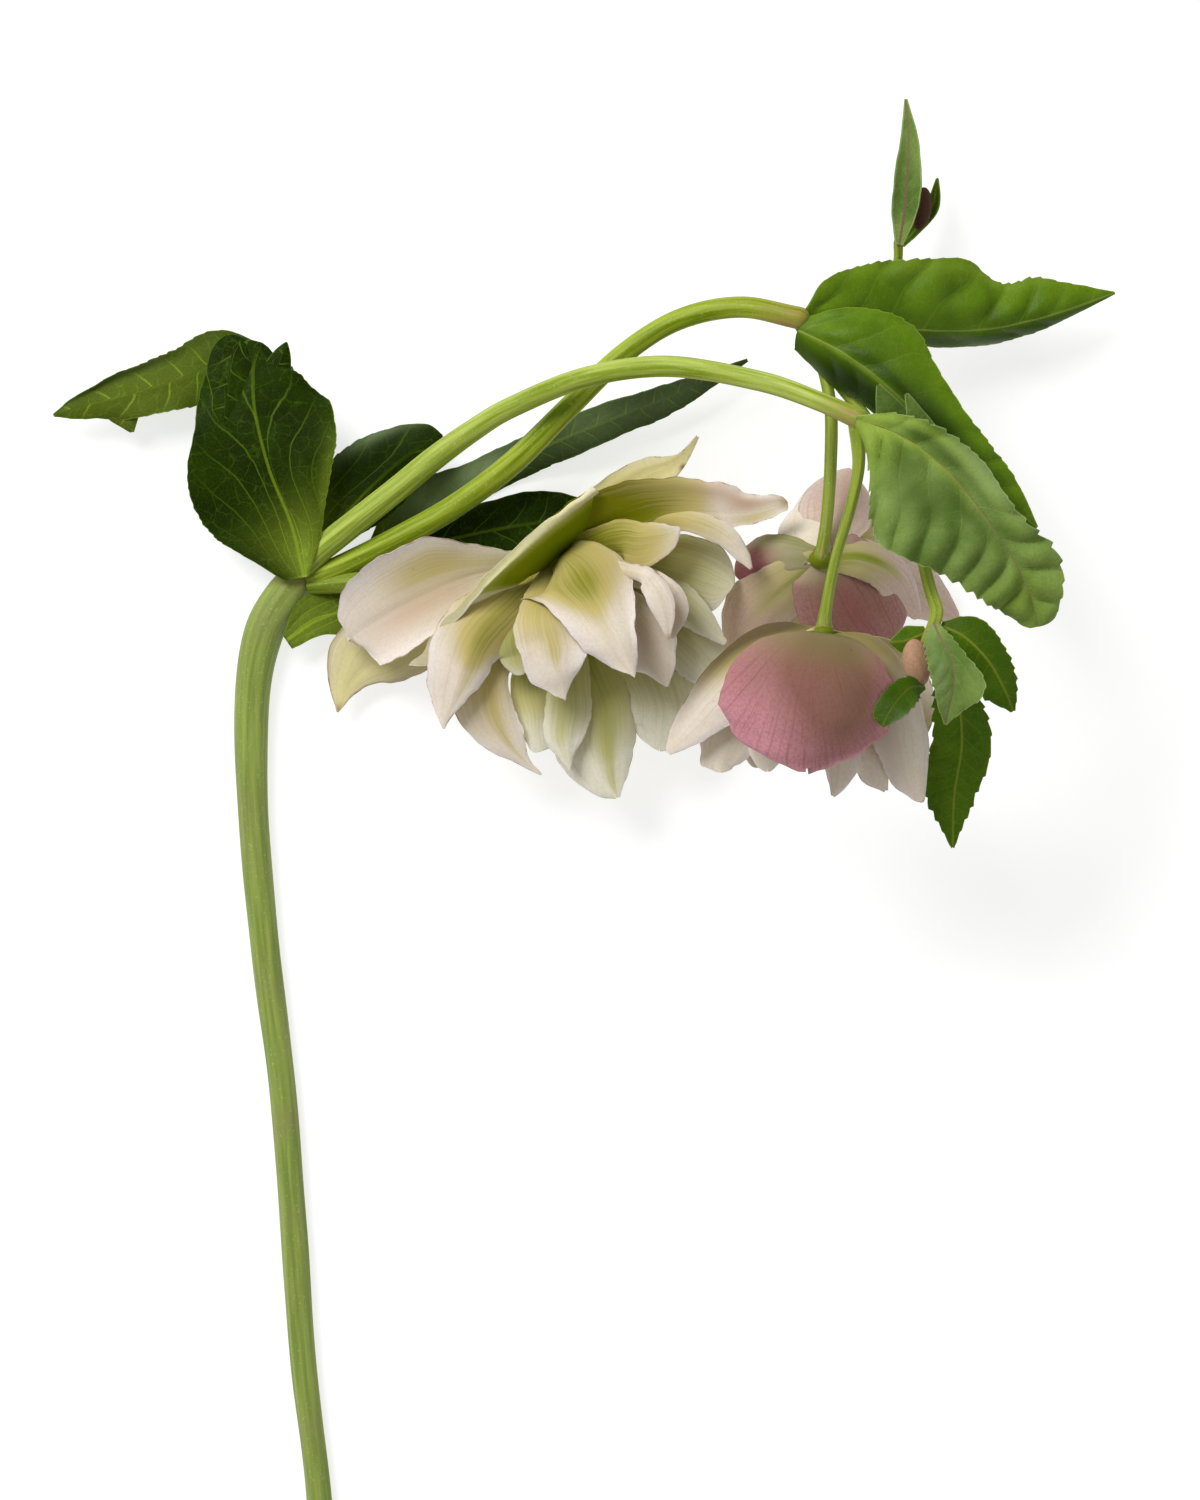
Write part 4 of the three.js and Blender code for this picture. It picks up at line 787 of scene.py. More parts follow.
def petal_skin(
    name, pale, flush, edge, soft, deep, blush, vein, brown, back, veins=0.4, cloudy=0.5
):
    """Petal skin: fine veins that fan out from the root, a green throat and a dull, tender face."""
    skin, tree, shader = new_skin(
        name, Roughness=0.6, IOR=1.4, Specular_IOR_Level=0.08, Subsurface_Weight=0.12,
        Subsurface_Radius=(1.0, 0.9, 0.5), Subsurface_Scale=0.001,
    )
    (across, along, side), (strand, share, seed), (outward, to_edge, _), marks = blade_maps(tree)
    flat = add_node(tree, "CombineXYZ", {"X": across, "Y": along, "Z": seed})
    # Veins about 0.5 mm apart where the petal is widest, closer together towards its root.
    waver = add_node(tree, "TexNoise", {"Vector": flat, "Scale": 0.2, "Detail": 2.0})
    fan = add_node(tree, "Math", {0: waver, 1: 0.9, 2: strand}, operation="MULTIPLY_ADD")
    lines = add_node(tree, "CombineXYZ", {"X": fan, "Y": share, "Z": seed})
    lines = add_node(tree, "Mapping", {"Vector": lines, "Scale": (2.6, 1.6, 7.3)})
    strands = add_node(
        tree, "TexNoise", {"Vector": lines, "Scale": 1.0, "Detail": 2.5, "Roughness": 0.6}
    )
    # Clouds about 8 mm wide, mottling of 0.6 mm, ragged bruises of 2 mm along the margin and
    # freckles some 8 mm apart.
    cloud, mottle, ragged = (
        add_node(tree, "TexNoise", {"Vector": flat, "Scale": scale, "Detail": detail})
        for scale, detail in ((0.13, 4.0), (1.8, 3.0), (0.5, 3.0))
    )
    freckle = add_node(tree, "TexVoronoi", {"Vector": flat, "Scale": 0.13})
    streak, cloud, mottle, ragged, hidden, brim, bruise, freckle = (
        add_node(tree, "MapRange", {"Value": value, "From Min": low, "From Max": high, "To Max": most})
        for value, low, high, most in (
            (strands, 0.52, 0.68, veins), (cloud, 0.36, 0.66, cloudy), (mottle, 0.4, 0.75, veins),
            (ragged, 0.5, 0.62, 0.55), (side, 0.1, -0.1, 1.0), (outward, 0.45, 1.0, 0.6),
            (to_edge, 0.35, 0.1, 1.0), (freckle, 0.045, 0.02, 0.6),
        )
    )
    # Kind 1 marks carry a blush; on the near sepal of the front bloom they are painted shadow.
    rosy = add_node(tree, "Math", {0: marks[1], 1: 1.0}, operation="MINIMUM")
    # The green of the throat runs out along the veins.
    runs = add_node(tree, "Math", {0: strands, 1: 0.7, 2: 0.65}, operation="MULTIPLY_ADD")
    runs = add_node(tree, "Math", {0: runs, 1: marks[0]}, operation="MULTIPLY")
    faint_green, deep_green = (
        add_node(
            tree, "MapRange", {"Value": runs, "From Min": least, "From Max": most},
            interpolation_type="SMOOTHSTEP",
        )
        for least, most in ((0.05, 0.6), (0.5, 1.1))
    )
    # Bruises along the margin, freckles and the brown marks; some of those marks are painted shade on
    # folded or shaded parts.
    wear_and_shade = add_node(tree, "Math", {0: bruise, 1: ragged}, operation="MULTIPLY")
    wear_and_shade = add_node(tree, "Math", {0: freckle, 1: wear_and_shade}, operation="MAXIMUM")
    wear_and_shade = add_node(tree, "Math", {0: wear_and_shade, 1: marks[2]}, operation="ADD", use_clamp=True)
    tint = colour(pale)
    for amount, code in (
        (cloud, flush), (hidden, back), (brim, edge), (rosy, blush), (streak, vein),
        (mottle, vein), (faint_green, soft), (deep_green, deep), (wear_and_shade, brown),
    ):
        tint = add_node(tree, "MixRGB", {"Fac": amount, "Color1": tint, "Color2": colour(code)})
    tree.links.new(tint.outputs[0], shader.inputs["Base Color"])
    relief = add_node(tree, "Bump", {"Height": strands, "Strength": 0.2, "Distance": 0.0002})
    tree.links.new(relief.outputs[0], shader.inputs["Normal"])
    return skin


# Papery tan with brown veins for the nodding bud, and a dark, withered brown for the upright one.
tan_sepal = petal_skin(
    "tan_bud_sepal", pale="#B08C6E", flush="#9F7A62", edge="#A8787A", soft="#9A8A56", deep="#7C8438",
    blush="#A0686A", vein="#8A6450", brown="#6B4A38", back="#A08068", veins=0.6,
)
dark_sepal = petal_skin(
    "dark_bud_sepal", pale="#5E4034", flush="#4A3028", edge="#6A4440", soft="#5C5030", deep="#4C5428",
    blush="#6A4440", vein="#3A261F", brown="#33221C", back="#5E4034", veins=0.6,
)
for bud, skin, centre, radii, lean, seed in (
    ("nodding_bud", tan_sepal, (112.2, -13.3, 55.4), (2.5, 4.3, 2.5), 8, 61),
    ("upright_bud", dark_sepal, (114, 69.2, 8.4), (1.8, 3.9, 1.6), -8, 62),
):
    add_egg(bud, bud, skin, "bud", centre, radii, lean, seed=seed)

# A deep green with a clear shine. The first leaf of each bud has the big leaf's dull side up.
bud_leather = leaf_skin(
    "small_bud_leaf", face="#4E6E06", deep="#385400", back="#5C7812", vein="#6C8820",
    rim="#7E962C", rib="#7C8228", wear_and_shade="#2C4400", gloss=0.42, spec=0.12, net=0.25, ribs=0.35,
    rib_half=0.25,
)
for bud, blades in BUD_LEAVES.items():
    for number, blade in enumerate(blades, 1):
        node = f"{bud}_bract_{number}"
        add_blade(
            node, node, dull_leather if number == 1 else bud_leather, "leaf",
            quilt=0.15, rib=0.1, columns=36, row=0.3, veining=3.2, seed=70 + number, **blade,
        )

# ---------------------------------------------------------------------------
# The big bloom: a double flower of many thin petals, layered round a small
# green base. They are cream with pink-tinged margins and deep green throats.
# ---------------------------------------------------------------------------

BIG_BLOOM_PETALS = [
    # The two sepals on the left, one under the other.
    dict(
        cup=(25, 15, 0), facing=[(-0.1, -0.2, 1)], curl=[(0, 0), (30, 0), (60, 10), (60, 20), (40, 20)],
        throat=(0.35, 0.8), wave=(0.8, 1.6, 0.2), wander=0.5, columns=48, fold=[(12, 6)],
        marks=[
            (0.42, 0.45, 0.18, 0.35, 0, 0.3), (0.5, -0.2, 0.25, 0.35, 1, 0.7),
            (0.99, -0.5, 0.02, 0.5, 2, 0.6),
        ],
        stations=[
            (35, 3.4, 16, 4.2, 5), (27, 0.6, 17, 7.8, 10.6), (18.5, -3.6, 15, 8.8, 9.8),
            (13.2, -6.8, 12, 7.6, 7.4), (10.8, -8.6, 10.6, 4.4, 4),
        ],
    ),
    dict(
        fold=[(0, 5), (-10, 10), (-10, 10)], curl=[(0, 0), (-40, 0), (-60, 30), (-40, 60)],
        throat=(0.25, 1.6), skin="yellow", wander=0.3, pleat=0.2, cup=[0],
        # Its brown mark along the left margin is painted shade where that margin rolls down.
        marks=[
            (0.98, 0, 0.04, 0.8, 2, 0.6), (0.7, -0.95, 0.4, 0.12, 2, 0.5),
            (0.85, 0.95, 0.2, 0.12, 1, 0.6),
        ],
        stations=[
            (31, -2.5, 8, 5, 4), (21, -7.4, 6.5, 8, 6.4), (13.6, -12, 5.5, 6.8, 7.4),
            (10, -16.8, 5, 2.8, 4), (8.2, -22, 5, 0.2, 0.2),
        ],
    ),
    # The sepals over the top: the near one with its long arched rim, the long right one and
    # the pale one behind them.
    dict(
        cup=[0, (0, 0), (-6, -6), (-14, -12), (-16, -12)], facing=[(0.58, -0.7, 0.36)],
        heel=[0, 0, (3, 1), (5, 2), (6, 2.3)], wander=0.45, columns=80, row=0.25, blunt=0, pleat=0.08,
        # Its strong green throat over most of its inner face is partly its own green and partly painted
        # shade.
        throat=(3, 0.88), skin="roof", marks=[(0.8, -1, 0.5, 0.24, 0, -3)],
        stations=[
            (47.6, 6, 17, 5, 9), (46.8, 7, 20.6, 11, 12), (45.9, 8.2, 24, 18, 13),
            (45, 9.3, 26.6, 27, 13.4), (43.8, 10.6, 27.4, 33.4, 13.6),
        ],
    ),
    dict(
        cup=[15], facing=[(0, -0.5, 1), (0, -0.4, 1), (0, -0.2, 1)], throat=(2.2, 0.72),
        wave=(0.9, 1.4, 0.6), wander=0.5, curl=[0, 0, 0, (-50, 0), (-70, 10), (-30, 0)],
        marks=[
            (0.62, -0.75, 0.16, 0.35, 1, 0.7), (0.84, -0.4, 0.1, 0.4, 1, 0.9),
            (0.86, 0.6, 0.12, 0.5, 0, 0.4), (1.0, 0, 0.03, 1, 2, 0.7),
        ],
        stations=[
            (52.6, 9.2, 17.4, 7, 5), (59, 12.4, 21.4, 8, 5.6), (68, 14.6, 25, 6.6, 4),
            (76, 14.4, 26.6, 5.6, 3.4), (82, 14.2, 27, 3.2, 2.8), (89.6, 15.8, 27.5, 1.4, 1.4),
        ],
    ),
    dict(
        throat=(0.7, 0.7), wander=0.25, wave=(0.5, 1.5, 0), skin="yellow",
        heel=[0, (3, 0), (1, 0), 0, 0, 0, 0], columns=44, curl=[0, (30, 0), (40, 0), (20, 0), 0, 0, 0],
        cup=[0], marks=[(0.98, 0, 0.04, 1, 1, 0.8), (0.74, 0.8, 0.03, 0.25, 2, 0.9)],
        stations=[
            (53.4, 12.6, 11, 4, 3), (58.6, 17, 12, 4, 3.4), (64, 20.4, 13, 3.6, 3.4),
            (68.6, 22.6, 13.6, 1.8, 2.4), (71, 24.6, 13.6, 0.8, 1.2), (73.4, 27.8, 13.6, 0.3, 0.3),
        ],
    ),
    # The middle petals, from the nearest to the ones behind.
    dict(
        cup=(-25, -30, -10), facing=[(0, 0.3, 1), (0, 0, 1), (0, -0.2, 1)], throat=(1.05, 0.6),
        heel=[0, (0, 2), (-1, 5), (0, 4), (0, 1), 0, 0], wave=(1, 1.7, 0.1), wander=0.4, columns=48,
        curl=[0, 0, (20, 30), (20, 30), 0, 0], fold=[0, -4, -8, -10, -6],
        marks=[
            (0.42, 0.1, 0.12, 0.5, 0, 0.5), (0.62, 0.2, 0.12, 0.2, 0, 0.2), (0.85, 0.4, 0.1, 0.3, 0, 0.2),
        ],
        stations=[
            (49.6, 6, 21.5, 5, 5), (52.4, 3.6, 27, 8, 12), (55.8, -2, 30, 6.8, 9.4),
            (59.2, -8.5, 31.5, 3.8, 7.2), (61, -13, 31.2, 1.5, 3.6), (62, -15.8, 31, 0.2, 0.3),
        ],
    ),
    dict(
        cup=(-25, -15, -10), throat=(0.85, 0.55), wave=(0.9, 1.6, 0.4), wander=0.5, fold=[0, -4, -6],
        marks=[(0.5, -0.1, 0.16, 0.2, 0, 0.3)],
        stations=[
            (45.6, -3.6, 26, 4.8, 4.8), (46.5, -9.5, 28.4, 7.4, 5.6), (47.8, -14.8, 28.6, 5.2, 5.2),
            (49, -18, 27.6, 1.6, 2.4), (49.6, -20, 27, 0.2, 0.2),
        ],
    ),
    dict(
        cup=(-15, -25, -25), throat=(1.0, 0.55), wave=(0.9, 1.3, 0.2), wander=0.5, columns=44,
        fold=[0, (-14, -4), (-14, -4)],
        marks=[(0.42, -0.2, 0.18, 0.5, 0, 0.5), (0.68, -0.3, 0.16, 0.3, 0, 0.2)],
        stations=[
            (38.5, -3, 21, 5.5, 5.5), (33.5, -9, 23.5, 5.4, 8), (30.5, -16, 23.5, 4.6, 6.6),
            (28.4, -21.8, 22.5, 1.3, 2.8), (27.6, -25, 22, 0.2, 0.2),
        ],
    ),
    dict(
        throat=(1.1, 1.2), skin="shaded",
        stations=[(41, -7, 21, 4, 3.6), (41, -12, 20.8, 3, 3.4), (41.6, -15.2, 20.5, 0.8, 1)],
    ),
    dict(
        throat=(0.8, 0.7), wave=(0.8, 1.4, 0.3), wander=0.3, fold=[0, (0, 8), (0, 8)],
        marks=[(0.7, 0.1, 0.3, 0.2, 0, 0.3)],
        stations=[
            (37, -11, 17, 3.4, 5.6), (36.6, -19, 18, 3.2, 7.8), (38.8, -26, 17, 3.3, 4.6),
            (42.4, -30.8, 15.6, 0.9, 1.3), (45.3, -33.3, 15, 0.2, 0.2),
        ],
    ),
    dict(
        throat=(1, 0.9), skin="shaded", wander=0.25, marks=[(0.55, -0.4, 0.12, 0.5, 1, 0.8)],
        stations=[(43.4, -15, 15, 3.6, 3.6), (44.2, -23, 15.5, 3.2, 3.4), (44.6, -29, 15, 2.6, 1.4)],
    ),
    dict(
        cup=[-30], throat=(0.9, 0.7), skin="shaded", wave=(0.6, 1.5, 0.3), wander=0.3, fold=[0, -8, -8],
        marks=[(0.7, 0.2, 0.3, 0.3, 0, 0.25)],
        stations=[
            (50, -14, 18, 4, 3.6), (50.2, -21, 19.5, 4.6, 4.6), (49.6, -26.5, 19, 3.6, 4.2),
            (50, -30, 18.4, 1.2, 2), (50.4, -32.2, 18, 0.2, 0.2),
        ],
    ),
    dict(
        cup=[-25], throat=(1.1, 0.7), skin="shaded", wave=(0.6, 1.2, 0.1), wander=0.4,
        fold=[0, (-12, -2), (-12, -2)], columns=40, marks=[(0.75, 0, 0.3, 0.2, 0, 0.45)],
        stations=[
            (54, -13, 16, 4.4, 4), (57, -21, 17, 5.2, 8.2), (57.4, -28.6, 16, 5, 10.4),
            (58, -34, 15, 3.2, 6.6), (59, -37.4, 14.5, 0.5, 0.5),
        ],
    ),
    dict(
        cup=[-25], throat=(0.7, 0.6), wave=(0.5, 1.3, 0.2), wander=0.3,
        marks=[(0.6, 0.3, 0.3, 0.5, 1, 0.4)],
        stations=[
            (58, -1.6, 20, 3.4, 3.4), (64, -6.6, 22.5, 4.6, 4.4), (67, -12.6, 23, 2.8, 6),
            (67.9, -17.4, 22, 0.3, 0.3),
        ],
    ),
    # A small one rolled into a white hook, and the one beside it.
    dict(
        cup=[(10, -60)], throat=(0.5, 0.4), wave=(0.4, 1.3, 0.2), wander=0.3,
        marks=[(1, 0, 0.05, 1, 2, 0.7), (0.6, -0.9, 0.5, 0.2, 2, 0.3)],
        stations=[
            (61.6, 3.4, 28, 1.4, 1.6), (65.4, 1, 30.6, 2, 3), (67.6, -3.6, 30.8, 1.8, 3.2),
            (68.2, -9, 29.5, 0.3, 0.3),
        ],
    ),
    dict(
        throat=(0.5, 0.6), marks=[(0.8, 0, 0.3, 1, 1, 0.3)],
        stations=[(64.6, 1.6, 25, 2.4, 2), (69.6, -3, 27, 2.2, 2.4), (68.8, -8.8, 27, 0.3, 0.3)],
    ),
    # Those on the right: two in the light and four deeper ones in shade.
    dict(
        throat=(1.2, 1.0), wave=(0.6, 1.3, 0.1), wander=0.25,
        stations=[
            (58, 9.6, 23, 3, 5), (63, 9.4, 26, 2.8, 5.6), (67.6, 10, 27.2, 2, 3.6),
            (70.2, 11.2, 27.5, 0.4, 0.4),
        ],
    ),
    dict(
        cup=[-40], throat=(0.9, 0.8), wave=(0.4, 1.3, 0.5), marks=[(1, 0, 0.02, 1, 2, 0.7)],
        stations=[
            (63, 11.8, 22, 2, 2.4), (71, 12.4, 26, 2.4, 2), (77.6, 10, 27, 2.4, 2),
            (81.4, 6.4, 26.8, 1.4, 1.6), (83, 3.8, 26.5, 0.3, 0.3),
        ],
    ),
    dict(
        throat=(1.1, 1.15), skin="shaded", wave=(0.5, 1.5, 0.3), wander=0.25, columns=40,
        stations=[(63, 5.6, 17, 4, 4), (71, 3.8, 19, 6.4, 5.6), (79.6, 0.8, 18.6, 6, 8)],
    ),
    dict(
        cup=[-25], throat=(0.9, 1.05), skin="shaded",
        stations=[(64, 0.6, 18, 4, 3), (72, -4, 20.5, 3.6, 3), (78.4, -9.6, 19.5, 0.6, 0.5)],
    ),
    dict(
        throat=(0.8, 0.8), skin="shaded", wave=(0.6, 1.4, 0.2), wander=0.3, columns=40,
        stations=[
            (61, -9, 14.5, 6, 5), (66.6, -18, 15.5, 7, 6.4), (67.6, -24, 15, 5, 7),
            (66.6, -28.6, 14, 3, 4),
        ],
    ),
    dict(
        throat=(0.8, 0.8), skin="shaded", wave=(0.5, 1.6, 0.6), wander=0.3,
        stations=[
            (63, -4, 14.5, 5, 4.6), (71, -9.4, 16.6, 6.4, 5), (75.6, -15, 16, 4, 4),
            (75.6, -20, 14.5, 1, 1),
        ],
    ),
]

# The petals of all blooms draw on these skins, which the later blooms add to.
PETAL_SKINS = {
    # Warm cream with a pinkish brim: thin and tender, its green throat shining through.
    "cream": petal_skin(
        "cream_petal", pale="#DED4C4", flush="#DACABF", edge="#E6DCDD", soft="#B8A968", deep="#76780C",
        blush="#BC9C84", vein="#C0AE90", brown="#84642F", back="#D2C8A6", veins=0.3,
    ),
    # Painted shade: the same with a cool green cast, for petals that lie deeper and take light from the
    # others.
    "shaded": petal_skin(
        "greenish_inner_petal", pale="#DEDAC8", flush="#D6D2BC", edge="#E2DED6", soft="#B2AE70",
        deep="#7A8214", blush="#A98E7A", vein="#B4AE8C", brown="#74582F", back="#BCB88E", veins=0.25,
    ),
    # A buttery yellow: older outer sepals that have begun to turn.
    "yellow": petal_skin(
        "yellowish_sepal", pale="#DAD19A", flush="#D6CEA6", edge="#E2DAC6", soft="#BCB46A",
        deep="#8C8E20", blush="#D2BCA0", vein="#BCAE7C", brown="#7A5A34", back="#C6BC88", veins=0.25,
    ),
    # Lime green lines that run far out on yellow: the sepal that roofs the bloom.
    "roof": petal_skin(
        "green_lined_sepal", pale="#DCD6A8", flush="#D4CC90", edge="#E4DAC0", soft="#A6AA46",
        deep="#7C8A06", blush="#BC9C84", vein="#B8B468", brown="#84642F", back="#D8CDB4", veins=0.2,
        cloudy=0.4,
    ),
}
# An even leek green, as firm and dull as the end of the stalk that it grew from.
leek_base = petal_skin(
    "green_flower_base", pale="#6C7818", flush="#626E12", edge="#6C7818", soft="#76822A",
    deep="#5A6608", blush="#76822A", vein="#5A6608", brown="#5A6608", back="#6C7818",
)


def add_bloom(node, centre, radii, petals, skin, slot, seed):
    """The petals of one bloom. Each starts inside the receptacle, which they close over."""
    add_egg(f"{node}_base", node, leek_base, slot, centre, radii, lap=0.02, seed=seed)
    usual = dict(cup=[-20], thick=0.34, columns=32, row=0.6, throat=(1.1, 0.75), pleat=0.06)
    for number, petal in enumerate(petals, 1):
        shape = {**usual, **petal}
        own = PETAL_SKINS[shape.pop("skin", skin)]
        shape["stations"] = [(*centre, 2, 2)] + shape["stations"]
        add_blade(f"{node}_petal_{number}", node, own, slot, seed=seed + number, **shape)


add_bloom("big_bloom", (48, 5.5, 13), (3.4, 3.4, 3), BIG_BLOOM_PETALS, "cream", "pale_petal", 100)

# ---------------------------------------------------------------------------
# The front bloom: a hanging bell. Its sepals are pink outside, the two at its
# sides dusky, with dark veins that fan from a green base. Paler petals hang
# out below them.
# ---------------------------------------------------------------------------

HANGING = dict(skin="cream", throat=(0.6, 0.6))
FAR_SIDE = dict(
    skin="cream", cup=[40], facing=[(0, -0.6, 1), (0, -0.2, 1), (0, 0.2, 1)], throat=(0.8, 0.6)
)
FRONT_BLOOM_PETALS = [
    # The near sepal, and the ones at its two sides.
    dict(
        cup=[0, -14, -34, -52, -58, -50], columns=64, row=0.5, wander=0.3, wave=(0.6, 1.7, 0.4),
        facing=[(0, 1, 0.7), (0, 0.8, 1), (0, 0.4, 1), (0, 0, 1), (0, -0.2, 1), (0, -0.4, 1)],
        heel=[0, (1, -1), (2, 0), (2, 1), (0, 0.5), (-1.5, -0.8)], throat=(1.3, 0.5), blunt=0.13,
        pleat=0.12, fan=9,
        # Its brown-rose marks over the middle and right are painted shadow.
        marks=[
            (0.45, 0.1, 0.22, 1.2, 1, 0.8), (0.66, -0.3, 0.4, 0.55, 1, 0.85),
            (0.36, -0.1, 0.12, 0.8, 2, 0.6), (0.6, -0.5, 0.26, 0.3, 2, 0.25),
        ],
        stations=[
            (95.2, -8, 53, 7.4, 7.6), (94.6, -9, 59.4, 11, 11.4), (93.4, -15, 64, 15.6, 16.6),
            (92.8, -23, 65.2, 18.2, 18.4), (92.6, -28.8, 63.4, 17, 15.8), (92.6, -32, 61, 14, 12),
        ],
    ),
    dict(
        cup=[-35], facing=[(0.3, 0.8, 0.6), (0.5, 0.2, 0.8), (0.3, 0, 1)], skin="dusky",
        throat=(0.9, 0.5), wander=0.3, wave=(0.5, 1.5, 0.2), fold=[-8],
        marks=[(0.2, 0, 0.26, 1.5, 2, 0.65), (0.5, 0.8, 0.3, 0.5, 1, 0.7)],
        stations=[
            (104, -9.6, 51, 5, 6), (109.6, -17, 52.4, 5, 7.6), (111.6, -26, 50.6, 4.8, 7.6),
            (112.6, -33.6, 48, 3, 5), (113.4, -37.8, 46.5, 0.6, 1.4),
        ],
    ),
    dict(
        cup=[(-30, -15), (-35, -20), (-20, -10)],
        facing=[(-0.3, 0.8, 0.6), (-0.4, 0.2, 0.9), (-0.3, 0, 1)], fold=[0, (0, -8), (0, -8), 0],
        skin="dusky", throat=(0.8, 0.6), wander=0.25,
        # Its dark brown mark along its upper margin is painted shade.
        marks=[(0.4, 0.9, 0.4, 0.6, 2, 0.95), (0.2, 0.4, 0.15, 1, 2, 0.6), (0.3, 0.8, 0.3, 0.5, 0, 0.4)],
        stations=[
            (86, -9.8, 45, 6, 6), (77.6, -17.6, 44, 6.4, 6), (71.4, -25, 42.4, 3.6, 3.4),
            (67.8, -29.2, 41, 0.8, 0.6),
        ],
    ),
    # The pale petals that hang below them.
    dict(
        wander=0.5, fold=[-6],
        stations=[
            (84, -18, 41, 5, 5), (79.4, -26, 40, 5, 6), (77.6, -30.6, 39, 3.4, 4.6),
            (77.4, -32.8, 38.6, 2, 3),
        ],
        **HANGING,
    ),
    dict(
        wander=0.5, stations=[(88, -18, 47, 4, 4), (85.6, -26, 48, 4.4, 4), (85.8, -32.2, 46.5, 3, 2.6)],
        **HANGING,
    ),
    dict(
        wander=0.3, wave=(0.4, 1.5, 0.1), fold=[-8],
        stations=[
            (97.4, -20, 48, 4, 4), (98.4, -28, 49, 4.6, 4), (98.4, -33.4, 48.4, 2.9, 2.6),
            (97.4, -37, 47.4, 0.4, 0.4),
        ],
        **HANGING,
    ),
    dict(
        wander=0.3, wave=(0.4, 1.5, 0.6), fold=[-8],
        stations=[
            (102, -20, 47, 4.4, 4.4), (104.4, -28, 48, 4, 4.6), (105.4, -33, 47.6, 2.6, 3.2),
            (106.8, -36, 46.5, 0.4, 0.4),
        ],
        **HANGING,
    ),
    # The far side of the bell.
    dict(stations=[(86, -12, 35, 7, 4.6), (82, -21, 31, 8.4, 5), (84, -32, 32, 1, 1)], **FAR_SIDE),
    dict(
        stations=[(97, -12.6, 32.5, 8, 8), (97.6, -21.5, 27.6, 9, 9), (98, -32, 29.4, 1, 1)], **FAR_SIDE,
    ),
    dict(stations=[(106, -13, 37, 6, 6), (109.4, -22, 35, 7, 7), (109, -33, 36, 1, 1)], **FAR_SIDE),
]

# A dusky pink with strong maroon veins, as if drawn with a fine brush; its brown-rose blush is painted
# shadow over the middle and right of the near sepal.
PETAL_SKINS["pink"] = petal_skin(
    "pink_sepal", pale="#D2949E", flush="#C08490", edge="#BC7E88", soft="#8C785A", deep="#5C6424",
    blush="#875E54", vein="#744646", brown="#6A6038", back="#D0B8AC", veins=0.36,
)
# Cream with a darker olive brown, for the sepals at the bell's sides; on the left one that brown is
# painted shade.
PETAL_SKINS["dusky"] = petal_skin(
    "dusky_side_sepal", pale="#DED4C4", flush="#DACABF", edge="#E6DCDD", soft="#B8A968", deep="#76780C",
    blush="#A08878", vein="#C0AE90", brown="#5D4F36", back="#D2C8A6", veins=0.3,
)
add_bloom("front_bloom", (95.8, -8, 46), (2, 1.6, 2.6), FRONT_BLOOM_PETALS, "pink", "pink_petal", 200)

# ---------------------------------------------------------------------------
# The back bloom: an open flower that faces away, so its paler rosy backs and
# the green veins at its base show.
# ---------------------------------------------------------------------------

